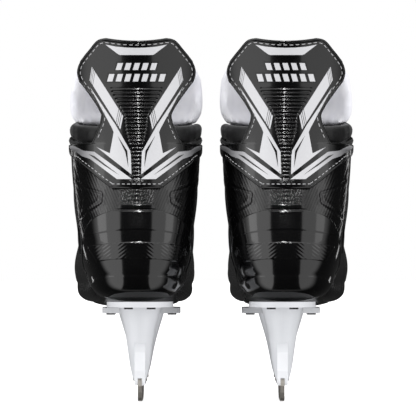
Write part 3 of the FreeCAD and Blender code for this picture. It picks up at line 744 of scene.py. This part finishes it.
class SKATES_OT_toe_cap(bpy.types.Operator):
    """The hard cap over the toes, and the piping along its seam"""

    bl_idname = "skates.toe_cap"
    bl_label = "Toe Cap"

    def execute(self, context):
        columns = 96
        outer = [(3.02, 2.6), (3.02, 1.2), (3.02, 0.35), (2.98, 0.1), (2.9, 0.0)]
        outer += [(2.8 - 2.77 * index / 54, 0.0) for index in range(55)]
        inner = [(0.8 + 2.22 * index / 18, 2.6) for index in range(19)]
        grids = [cap_section(position, wall, columns) for position, wall in outer]
        shape = Shape(np.concatenate(grids), grid_faces(len(outer), columns, flip=True, wrap=True))
        shape.faces.append(tuple((len(outer) - 1) * columns + index for index in reversed(range(columns))))
        hollow = Shape(np.concatenate([cap_section(position, wall, columns) for position, wall in inner]),
                       grid_faces(len(inner), columns, flip=True, wrap=True))
        hollow.faces.append(tuple(range(columns)))
        shape.join(hollow)
        gloss = moulded_gloss("moulded_toe_cap", "0a0a0b", "101011", 0.2, 0.6)
        put("toe_cap", shape, gloss, replaces=["toe_cap"], crease=50)
        around = np.linspace(-throat_edge(CAP_SEAM), throat_edge(CAP_SEAM), 160)
        seam = off_skin(CAP_SEAM, around, 0.15)
        bead = tube(seam, skin_normal(CAP_SEAM, around), 1.25, 0.8)
        put("cap_piping", bead, moulded_gloss("rubber_piping", "080809", "0c0c0d", 0.4, 0.1))
        return {"FINISHED"}


# The heel counter's outline from behind, as heights and half widths.
COUNTER_OUTLINE = ((83.0, 29.0), (88.0, 33.0), (95.0, 37.4), (102.0, 40.4), (108.0, 41.4), (118.0, 41.2),
                   (126.0, 40.0), (131.0, 38.4), (136.0, 35.4), (140.0, 30.0), (143.0, 21.0), (144.6, 11.0))
BAND_LOW, BAND_HIGH = 108.7, 120.6
# How much thicker the counter is at its foot, where it stands upright over the last's round heel.
HEEL_FILL = 3.4


def counter_relief(s, t, skin):
    """The heel counter: a rounded foot panel, a bowl, a ribbed band and a step under its crest."""
    across, height = skin[..., 0], skin[..., 2]
    away = np.abs(across)
    arch = height + 0.0036 * across ** 2
    foot = (away / 34.0) ** 5 + (np.abs(height - 78.0) / 18.4) ** 5
    wall = 1.5 + HEEL_FILL * smooth(98.0, 86.0, height)
    wall += 0.45 * (1 - smooth(0.86, 1.06, foot)) + 0.5 * smooth(129.8, 130.7, arch)
    half = 37.0 - (BAND_HIGH - height) * 0.6
    inside = ridge(BAND_LOW, BAND_HIGH, 0.35, arch - 0.0012 * across ** 2)
    inside *= 1 - smooth(half - 0.5, half + 0.5, away)
    ribs = np.sin((away * 0.8 + height) * 2.2)
    return wall + inside * (0.6 + 0.05 * ribs)


class SKATES_OT_heel(bpy.types.Operator):
    """The moulded heel counter with its ledges, and the small raised plate above it"""

    bl_idname = "skates.heel"
    bl_label = "Heel Counter"

    def execute(self, context):
        def places(s, t):
            height = COUNTER_OUTLINE[0][0] + (COUNTER_OUTLINE[-1][0] - COUNTER_OUTLINE[0][0]) * s
            return back_place((2 * t - 1) * (follow(COUNTER_OUTLINE, height) - 1.5), height)

        shape = panel(places, counter_relief, 0.05, 180, 160, 1.3)
        gloss = moulded_gloss("moulded_heel_counter", "09090a", "0e0e0f", 0.12, 0.8)
        put("heel_counter", shape, gloss, replaces=["heel_counter"])
        self.add_edge(gloss)

        def plate(s, t):
            return back_place((2 * t - 1) * (15.0 - 2.4 * s), 145.6 + 3.8 * s)

        shape = panel(plate, 1.2, 0.05, 8, 26, 0.8)
        put("heel_stay", shape, gloss, replaces=["heel_stay"])
        return {"FINISHED"}

    def add_edge(self, gloss):
        height = np.linspace(COUNTER_OUTLINE[0][0] + 1.0, COUNTER_OUTLINE[-1][0] - 0.4, 150)
        width = follow(COUNTER_OUTLINE, height) - 1.9
        height = np.concatenate([height, height[::-1]])
        position, around = back_place(np.concatenate([width, -width[::-1]]), height)
        lift = 1.1 + HEEL_FILL * smooth(98.0, 86.0, height)
        rim = tube(off_skin(position, around, lift), skin_normal(position, around), 1.0, 0.9)
        put("counter_edge", rim, gloss)


class SKATES_OT_collar(bpy.types.Operator):
    """The padded knitted roll round the ankle, and the tape sewn over the shell's rim"""

    bl_idname = "skates.collar"
    bl_label = "Collar"

    def execute(self, context):
        places = band(SHELL_TOP - 0.03, 13.27, 0.83)

        def outside(s, t, skin):
            return 0.25 + 0.3 * np.sin(math.pi * s) - 1.2 * ridge(-0.5, 0.1, 0.06, s)

        def inside(s, t, skin):
            beside_tongue = smooth(0.56, 0.64, np.abs(places(s, t)[1]))
            return -9.4 + 1.5 * s ** 3 + 4.0 * beside_tongue

        shape = panel(places, outside, inside, 26, 130, 3.4)
        shape = swell(shape, 0.8, 4.0)
        knit = knit_material("collar_knit", "070708", "151517", 0.9, 0.12, 0.42)
        put("collar_pad", shape, knit, replaces=["collar_pad"])

        places = band(SHELL_TOP - 0.2, SHELL_TOP + 0.04, 0.862)
        shape = panel(places, 1.1, 0.06, 8, 160, 1.2)
        around = np.linspace(-0.84, 0.84, 240)
        tape = knit_material("woven_tape", "0a0a0b", "1d1d1f", 0.7, 0.1)
        put("collar_binding", shape, tape, replaces=["collar_binding"])
        sewn = stitches(off_skin(SHELL_TOP - 0.08, around, 1.12), skin_normal(SHELL_TOP - 0.08, around))
        put("collar_stitches", sewn, thread_material("black_thread", "3a3a3c"))
        return {"FINISHED"}


# ---------------------------------------------------------------- the tendon guard
# Places across the guard are as seen from behind up to WRAP_START, and lengths round the boot's side
# beyond it, where the wings wrap forward.

WRAP_START = 42.0
WRAP_RATE = 0.0063
GUARD_FACE = 3.7
GUARD_LOW = 161.6
GUARD_HIGH = 273.8
# How far the top edge dips in the middle.
TOP_DIP = 2.0
# How many points each side of the guard's edge has.
EDGE_POINTS = 330
# The grip ridges' half length, by height.
RIDGE_FIELD = ((192.0, 4.6), (200.0, 6.5), (207.0, 8.0), (214.0, 8.6), (220.0, 11.0), (228.0, 15.5),
               (237.0, 19.5))
GUARD_OUTLINE = (
    (161.6, 19.0), (163.5, 21.5), (168.0, 27.5), (174.0, 35.0), (178.5, 41.0), (181.5, 46.0), (183.2, 54.0),
    (185.4, 65.0), (187.6, 72.0), (190.2, 77.0), (192.8, 79.0), (194.0, 77.0), (195.0, 42.0), (196.0, 34.2),
    (199.0, 32.4), (205.0, 29.8), (211.0, 27.4), (216.0, 26.5), (221.0, 28.6), (228.0, 33.0), (236.0, 38.8),
    (243.0, 43.6), (249.0, 45.2), (254.0, 44.0), (260.0, 39.9), (266.0, 34.9), (270.0, 31.6), (272.3, 28.9),
    (273.4, 25.8), (273.8, 22.5),
)


def guard_place(across, height):
    """Where on the last the guard's points lie."""
    across, height = np.broadcast_arrays(np.asarray(across, float), np.asarray(height, float))
    facing = np.clip(across, -WRAP_START, WRAP_START)
    position, around = lifted_place(facing, height, GUARD_FACE)
    wrapped = around + (across - facing) * WRAP_RATE
    return np.where(across == facing, position, level_place(wrapped, height)), wrapped


def guard_top(across, height, around):
    """The guard's outer face above the last: ridges down its middle, and wings that thin out forward."""
    sizes = bpy.context.scene.skate_sizes
    pitch, rise = sizes.ridge_pitch / MM, sizes.ridge_height / MM
    away = np.abs(across)
    field = follow(RIDGE_FIELD, height)
    upper = ridge(194.0, 237.0, 0.4, height) * (1 - smooth(field - 0.8, field, away))
    wave = np.sin(2 * math.pi * (height - 193.5) / pitch)
    plate = GUARD_FACE - 2.5 * smooth(0.25, 0.38, np.abs(around))
    top = plate + upper * (rise * np.where(wave > 0, wave, wave * 0.8) - 0.1)
    lower = ridge(167.5, 193.0, 0.4, height)
    channel = lower * (1 - smooth(4.4, 5.2, away))
    bars = np.sin(2 * math.pi * (height - 167.0) / 2.95)
    return top - 0.6 * channel + lower * 0.65 * (1 - smooth(2.8, 3.4, away)) * np.maximum(bars, 0.0)


def guard_spot(across, height, lift):
    """Points this far above the guard's outer face, and the normals there."""
    position, around = guard_place(across, height)
    normal = skin_normal(position, around)
    top = guard_top(across, height, around) + lift
    return skin_point(position, around) + normal * top[..., None], normal


def guard_edge(inset):
    """The guard's outline drawn in by an inset: up the right edge, over the top and down the left."""
    height = np.linspace(GUARD_LOW, GUARD_HIGH, EDGE_POINTS)
    width = follow(GUARD_OUTLINE, height)
    dip = np.linspace(1, -1, 41)[1:-1]
    across = np.concatenate([width, dip * width[-1], -width[::-1]])
    up = np.concatenate([height, GUARD_HIGH - TOP_DIP * (1 - dip ** 2), height[::-1]])
    line = np.stack([across, up], -1)
    run = np.roll(line, -1, 0) - np.roll(line, 1, 0)
    run /= np.maximum(np.linalg.norm(run, axis=-1, keepdims=True), 1e-6)
    return line + np.stack([-run[:, 1], run[:, 0]], -1) * inset


class SKATES_OT_guard(bpy.types.Operator):
    """The moulded tendon guard in one piece, with its ridges, rolled rim, stitching and pad"""

    bl_idname = "skates.guard"
    bl_label = "Tendon Guard"

    def execute(self, context):
        def places(s, t):
            height = GUARD_LOW + (GUARD_HIGH - GUARD_LOW) * s
            rows, index = np.unique(height, return_inverse=True)
            width = follow(GUARD_OUTLINE, rows)
            left = guard_place(-width, rows)[1][index].reshape(s.shape)
            right = guard_place(width, rows)[1][index].reshape(s.shape)
            dip = smooth(262.0, GUARD_HIGH, height) * TOP_DIP * (1 - (2 * t - 1) ** 2)
            around = left + (right - left) * t
            return level_place(around, height - dip), around

        def top(s, t, skin):
            position, around = places(s, t)
            face = off_skin(position, around, GUARD_FACE)
            return guard_top(face[..., 0], face[..., 2], around)

        shape = panel(places, top, 0.2, 300, 110, 1.3)
        nodes = ["guard_base", "tendon_guard"]
        put("tendon_guard", shape, guard_material(), replaces=nodes, blend=GUARD_BEND)
        self.add_rim()
        self.add_seams(context)
        self.add_pad()
        return {"FINISHED"}

    def add_rim(self):
        line = guard_edge(0.7)
        spots, normals = guard_spot(line[:, 0], line[:, 1], -0.35)
        rim = tube(spots, normals, 0.95, 0.8, 8, closed=True)
        put("guard_rim", rim, moulded_gloss("rolled_rim", "060607", "0a0a0b", 0.25, 0.4),
            blend=GUARD_BEND)

    def add_seams(self, context):
        line = guard_edge(3.0)
        upper = line[line[:, 1] > 197.5]
        sewn = stitches(*guard_spot(upper[:, 0], upper[:, 1], 0.0))
        for half in (line[-EDGE_POINTS:][::-1], line[:EDGE_POINTS]):
            foot = half[(half[:, 1] < 187.0) & (half[:, 1] > 164.5)]
            foot = np.concatenate([[(0.0, 164.4)], foot])
            even, known = np.linspace(0, len(foot) - 1, 200), np.arange(len(foot))
            across, height = (np.interp(even, known, foot[:, axis]) for axis in (0, 1))
            sewn.join(stitches(*guard_spot(across, height, 0.0), 0.85))
        thread = thread_material("white_thread", context.scene.skate_colours.thread)
        put("guard_stitches", sewn, thread, blend=GUARD_BEND)

    def add_pad(self):
        def places(s, t):
            height = 214.0 + 56.0 * s
            return lifted_place((2 * t - 1) * (follow(GUARD_OUTLINE, height) - 3.5), height, 0.0)

        def inside(s, t, skin):
            return -4.6 + 2.4 * np.abs(2 * t - 1) ** 3

        shape = panel(places, 0.5, inside, 40, 50, 2.5)
        shape = swell(shape, 0.6, 4.0)
        knit = knit_material("guard_knit", "101011", "2f2f32", 1.0)
        put("guard_pad", shape, knit, "guard_flap", ["guard_pad"])


def inlay(outline, lift, fine=1.6):
    """A flat outline laid on the guard's face, with its edge turned down into it."""
    work = bmesh.new()
    work.faces.new([work.verts.new((x, z, 0)) for x, z in outline])
    work.normal_update()
    bmesh.ops.triangulate(work, faces=work.faces, ngon_method="EAR_CLIP")
    for _ in range(5):
        long_edges = [edge for edge in work.edges if edge.calc_length() > fine]
        if not long_edges:
            break
        bmesh.ops.subdivide_edges(work, edges=long_edges, cuts=1)
        bmesh.ops.triangulate(work, faces=work.faces)
    work.verts.index_update()
    work.normal_update()
    flat = np.array([vert.co[:2] for vert in work.verts])
    count = len(flat)
    points = [guard_spot(flat[:, 0], flat[:, 1], depth)[0] for depth in (lift, lift - 0.6)]
    shape = Shape(np.concatenate(points))
    for face in work.faces:
        ring = [vert.index for vert in face.verts]
        shape.faces.append(tuple(ring if face.normal.z > 0 else reversed(ring)))
    for edge in work.edges:
        if len(edge.link_faces) == 1:
            first, second = (vert.index for vert in edge.verts)
            shape.faces.append((first, second, second + count, first + count))
    work.free()
    return shape


def stripe_pieces(inner, outer, ends):
    """A slanted stripe between two lines, cut into pieces at fractions of its length."""
    def at(line, part):
        (x1, z1), (x2, z2) = line
        return (x1 + (x2 - x1) * part, z1 + (z2 - z1) * part)
    return [[at(inner, low), at(inner, high), at(outer, high), at(outer, low)] for low, high in ends]


# Outlines of the printed panels on the guard's left half, from the middle stripe to the chevron.
STRIPE_CUTS = ((0.0, 0.018), (0.03, 0.055), (0.067, 0.095), (0.107, 0.855), (0.868, 0.9), (0.914, 0.944),
               (0.958, 1.0))
MAIN_STRIPE = (((-33.4, 252.6), (-9.9, 215.6)), ((-35.1, 242.6), (-12.0, 205.6)))
INNER_PANEL = ((-34.8, 237.4), (-18.3, 206.6), (-17.0, 203.6), (-19.9, 187.6), (-30.0, 192.4), (-3.7, 171.8),
               (-4.2, 188.8), (-15.6, 209.0))
CHEVRON = ((-70.0, 193.6), (-60.0, 193.4), (-52.0, 192.6), (-45.0, 191.4), (-39.6, 189.6), (-31.6, 188.8),
           (-3.3, 168.2), (-14.6, 168.2), (-34.8, 183.4), (-41.2, 185.6), (-46.0, 187.6), (-53.0, 188.9),
           (-62.0, 190.2), (-72.0, 192.4))
PANEL_SLIT = ((-14.0, 200.6), (-6.8, 189.4), (-6.0, 177.2), (-8.2, 188.4))
CHEVRON_SLIT = ((-35.8, 187.0), (-31.6, 185.6), (-13.0, 171.3), (-24.0, 178.4))
TOP_BADGE = ((-23.1, 269.2), (-15.0, 267.6), (-7.0, 266.9), (0.0, 266.7), (7.0, 266.9), (15.0, 267.6),
             (23.1, 269.2), (13.6, 262.0), (12.2, 261.4), (-12.2, 261.4), (-13.6, 262.0))
# Two rows of plain slanted bars: the number of bars, the height of their feet and of their tops.
BAR_ROWS = ((5, 250.2, 255.4), (7, 241.6, 247.2))
BAR_PITCH = 6.4


class SKATES_OT_panels(bpy.types.Operator):
    """The printed silver panels of the tendon guard and the plain slanted bars below its top"""

    bl_idname = "skates.panels"
    bl_label = "Silver Panels"

    def execute(self, context):
        silver, black = inlay(TOP_BADGE, 0.2), Shape()
        for sign in (-1, 1):
            def sided(outline, sign=sign):
                return outline if sign < 0 else [(-x, z) for x, z in reversed(outline)]

            for outline in (*stripe_pieces(*MAIN_STRIPE, STRIPE_CUTS), INNER_PANEL, CHEVRON):
                silver.join(inlay(sided(outline), 0.2))
            for outline in (PANEL_SLIT, CHEVRON_SLIT):
                black.join(inlay(sided(outline), 0.32))
        for count, low, high in BAR_ROWS:
            for index in range(count):
                x = (index - (count - 1) / 2) * BAR_PITCH
                bar = [(x - 2.7, low), (x + 1.3, low), (x + 2.9, high), (x - 1.1, high)]
                foot, top = low - 1.0, high + 1.0
                halo = [(x - 4.0, foot), (x + 2.4, foot), (x + 4.2, top), (x - 2.2, top)]
                silver.join(inlay(bar, 0.36))
                black.join(inlay(halo, 0.12))
        put("silver_panels", silver, silver_material(), blend=GUARD_BEND, crease=40)
        print_black = moulded_gloss("black_print", "050506", "080809", 0.25, 0.3)
        put("black_panels", black, print_black, blend=GUARD_BEND, crease=40)
        return {"FINISHED"}


# ---------------------------------------------------------------- the tongue

TONGUE_FREE = 13.28
TONGUE_TOP = 15.16
# The middle of the tongue's padding, front to back.
TONGUE_MIDDLE = -38.0
# How far round the last each edge of the free top lies, so that its sides stand upright.
TONGUE_SPREAD = ((13.0, 0.5), (13.5, 0.49), (14.0, 0.45), (14.3, 0.42), (14.6, 0.382), (14.85, 0.358),
                 (15.05, 0.325), (15.16, 0.285))


def tongue_channels(shape):
    """Sews soft upright channels into the tongue's free top."""
    x, z = shape.points[:, 0], shape.points[:, 2]
    sewn = sum(groove(np.abs(x) - place, 2.2) for place in (12.0, 27.0, 39.0))
    towards = np.sign(TONGUE_MIDDLE - shape.points[:, 1])
    shape.points[:, 1] += towards * 0.8 * sewn * smooth(206.0, 222.0, z)
    return shape


class SKATES_OT_tongue(bpy.types.Operator):
    """The white padded tongue in one piece, from under the lacing to its free top"""

    bl_idname = "skates.tongue"
    bl_label = "Tongue"

    def execute(self, context):
        def spread(position):
            narrow = 0.145 + 0.004 * (np.minimum(position, 13.0) - 3.2)
            flare = smooth(12.96, 13.2, position)
            return narrow * (1 - flare) + follow(TONGUE_SPREAD, position) * flare

        def places(s, t):
            position = 3.2 + (TONGUE_TOP - 3.2) * s
            return position, 1 + spread(position) * 2 * (t - 0.5)

        def outside(s, t, skin):
            return -5.8 + 4.3 * smooth(TONGUE_FREE - 0.3, TONGUE_FREE + 0.4, 3.2 + (TONGUE_TOP - 3.2) * s)

        def inside(s, t, skin):
            return outside(s, t, skin) - 8.0

        shape = panel(places, outside, inside, 130, 60, 4.0)
        shape = tongue_channels(swell(shape, 1.0, 4.0))
        put("tongue", shape, felt_material(), replaces=["tongue_base", "tongue_top"],
            blend=TONGUE_BEND)
        return {"FINISHED"}


# ---------------------------------------------------------------- trim

class SKATES_OT_trim(bpy.types.Operator):
    """Eyelet stays, side overlays and their stitching"""

    bl_idname = "skates.trim"
    bl_label = "Trim"

    def execute(self, context):
        stays, overlays, seams = Shape(), Shape(), Shape()
        for side in (-1, 1):
            def stay_place(s, t, side=side):
                position = 3.75 + (SHELL_TOP - 0.22 - 3.75) * s
                inset = 0.09 - 0.086 * (t if side > 0 else 1 - t)
                return position, side * (throat_edge(position) - inset)

            def overlay_place(s, t, side=side):
                forward = t if side > 0 else 1 - t
                position = 6.4 + 3.0 * s + 0.9 * forward
                return position, side * (0.40 + 0.16 * forward + 0.02 * np.sin(math.pi * s))

            stays.join(panel(stay_place, 1.3, 0.06, 90, 8, 1.0))
            overlays.join(panel(overlay_place, 1.0, 0.06, 60, 30, 1.2))
            for inset in (0.082, 0.014):
                position = np.linspace(3.85, SHELL_TOP - 0.3, 200)
                around = side * (throat_edge(position) - inset)
                path = off_skin(position, around, 1.32)
                seams.join(stitches(path, skin_normal(position, around)))
        trim = knit_material("coated_trim", "0b0b0c", "161618", 1.3, 0.05)
        put("eyelet_stays", stays, trim, replaces=["eyelet_stays"])
        gloss = moulded_gloss("moulded_overlay", "0a0a0b", "101011", 0.3, 0.3)
        put("side_overlays", overlays, gloss, replaces=["side_overlays"])
        put("trim_stitches", seams, thread_material("grey_thread", "6c6c70"))
        return {"FINISHED"}


class SKATES_OT_finishes(bpy.types.Operator):
    """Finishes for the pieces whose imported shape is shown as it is"""

    bl_idname = "skates.finishes"
    bl_label = "Finishes"

    def execute(self, context):
        steel = steel_material()
        rivet = moulded_gloss("blackened_rivet", "111112", "1c1c1d", 0.35, 0.1)
        finish = {
            "runner": steel,
            "holder": holder_material(),
            "insole_board": moulded_gloss("fibre_board", "1a1a1b", "262628", 0.7, 0.0),
            "footbed": knit_material("footbed_knit", "1f1f22", "3c3c40", 1.2),
            "eyelets": moulded_gloss("blackened_brass", "1b1b1c", "2a2a2b", 0.3, 0.2),
            "runner_bolts": steel,
            "rear_rivets": rivet,
            "front_rivets": rivet,
        }
        for side, _ in SIDES:
            for node, material in finish.items():
                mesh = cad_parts[f"{side}_{node}"].data
                mesh.materials.clear()
                mesh.materials.append(material)
        return {"FINISHED"}


# ---------------------------------------------------------------- the stage

# The point that every lamp faces.
AIM = (0.0, 0.0, 0.16)
# Half the floor's width, in metres.
FLOOR = 12


class SKATES_OT_stage(bpy.types.Operator):
    """A plain pale floor, soft studio light and the camera"""

    bl_idname = "skates.stage"
    bl_label = "Stage"

    def execute(self, context):
        scene = context.scene
        scene.view_settings.view_transform = "Standard"
        mesh = bpy.data.meshes.new("floor")
        corners = [(-FLOOR, -FLOOR, 0), (FLOOR, -FLOOR, 0), (FLOOR, FLOOR, 0), (-FLOOR, FLOOR, 0)]
        mesh.from_pydata(corners, [], [(0, 1, 2, 3)])
        floor = bpy.data.objects.new("floor", mesh)
        scene.collection.objects.link(floor)
        mesh.materials.append(light_table_material())
        floor.visible_glossy = False
        floor.visible_diffuse = False
        self.add_world(scene)
        # The strips light only reflections: dots down the middle and thin lines along the boots' edges.
        lamps = (
            ("left_softbox", (-2.6, -1.7, 1.2), (1.2, 1.8), 6.0, True),
            ("right_softbox", (2.6, -1.7, 1.2), (1.2, 1.8), 4.0, True),
            ("top_softbox", (0.0, 0.4, 2.4), (2.2, 1.6), 9.0, True),
            ("middle_strip", (0.0, -2.15, 2.3), (0.05, 2.2), 22.0, False),
            ("left_strip", (-1.6, 2.4, 0.5), (0.25, 1.6), 1.6, False),
            ("right_strip", (1.6, 2.4, 0.5), (0.25, 1.6), 1.6, False),
        )
        for name, place_at, extent, power, lights_all in lamps:
            light = bpy.data.lights.new(name, "AREA")
            light.shape = "RECTANGLE"
            light.size, light.size_y = extent
            light.energy = power
            lamp = bpy.data.objects.new(name, light)
            lamp.location = place_at
            lamp.rotation_euler = (Vector(AIM) - Vector(place_at)).to_track_quat("-Z", "Y").to_euler()
            lamp.visible_diffuse = lights_all
            scene.collection.objects.link(lamp)
        # The lens is long and level with the middle of the boots, square behind the heels.
        camera_data = bpy.data.cameras.new("camera")
        camera_data.lens = 848.6
        camera_data.sensor_width = 36.0
        camera_data.clip_end = 100.0
        camera = bpy.data.objects.new("camera", camera_data)
        camera.location = (-0.0024, -7.5, 0.1465)
        camera.rotation_euler = (math.radians(90), 0, 0)
        scene.collection.objects.link(camera)
        scene.camera = camera
        return {"FINISHED"}

    def add_world(self, scene):
        """A white studio. Its gloss reflections have a dark gap behind the camera and a dark far side."""
        world = bpy.data.worlds.new("studio")
        world.use_nodes = True
        tree = world.node_tree
        tree.nodes.clear()
        output = add_node(tree, "OutputWorld")
        place = add_node(tree, "TexCoord")
        split = add_node(tree, "SeparateXYZ", links={"Vector": place.outputs["Generated"]})
        x, y, z = (split.outputs[axis] for axis in "XYZ")

        def ramp(value, low, high, low_value, high_value):
            settings = {"interpolation_type": "SMOOTHSTEP", "From Min": low, "From Max": high,
                        "To Min": low_value, "To Max": high_value}
            return add_node(tree, "MapRange", settings, {"Value": value}).outputs["Result"]

        def combine(kind, first, second):
            return add_node(tree, "Math", {"operation": kind}, {0: first, 1: second}).outputs["Value"]

        def light(strength):
            links = {"Strength": strength} if strength else None
            return add_node(tree, "Background", {"Color": (1, 1, 1, 1)}, links).outputs["Background"]

        def choose(ray, otherwise, chosen):
            links = {0: rays.outputs[ray], 1: otherwise, 2: chosen}
            return add_node(tree, "MixShader", links=links).outputs["Shader"]

        away = add_node(tree, "Math", {"operation": "ABSOLUTE"}, {0: x}).outputs["Value"]
        near = ramp(y, -0.45, 0.0, 1.15, 0.03)
        gap = combine("MAXIMUM", ramp(away, 0.27, 0.31, 0.02, 1.0), ramp(y, -0.3, -0.1, 0.0, 1.0))
        sides = ramp(x, -0.2, 0.3, 1.0, 0.72)
        above = ramp(z, 0.5, 0.85, 0.0, 0.8)
        mirrored = combine("MAXIMUM", combine("MULTIPLY", combine("MULTIPLY", near, gap), sides), above)
        soft = ramp(y, -0.6, 0.5, 1.18, 0.8)
        rays = add_node(tree, "LightPath")
        objects = choose("Is Glossy Ray", light(soft), light(mirrored))
        tree.links.new(choose("Is Camera Ray", objects, light(None)), output.inputs["Surface"])
        scene.world = world


OPERATORS = (
    SKATES_OT_stage, SKATES_OT_shell, SKATES_OT_outsole, SKATES_OT_lining, SKATES_OT_toe_cap, SKATES_OT_heel,
    SKATES_OT_collar, SKATES_OT_guard, SKATES_OT_panels, SKATES_OT_tongue, SKATES_OT_trim, SKATES_OT_finishes,
)


class SKATES_PT_panel(bpy.types.Panel):
    """Lists the steps that build the skates"""

    bl_idname = "SKATES_PT_panel"
    bl_label = "Skates"
    bl_space_type = "VIEW_3D"
    bl_region_type = "UI"
    bl_category = "Skates"

    def draw(self, context):
        for operator in OPERATORS:
            self.layout.operator(operator.bl_idname)


CLASSES = (SkateSizes, SkateColours, *OPERATORS, SKATES_PT_panel)


def register():
    for item in CLASSES:
        bpy.utils.register_class(item)
    bpy.types.Scene.skate_sizes = bpy.props.PointerProperty(type=SkateSizes)
    bpy.types.Scene.skate_colours = bpy.props.PointerProperty(type=SkateColours)


def unregister():
    del bpy.types.Scene.skate_colours
    del bpy.types.Scene.skate_sizes
    for item in reversed(CLASSES):
        bpy.utils.unregister_class(item)


def main():
    register()
    for operator in OPERATORS:
        group, name = operator.bl_idname.split(".")
        getattr(getattr(bpy.ops, group), name)()


if __name__ == "__main__":
    main()
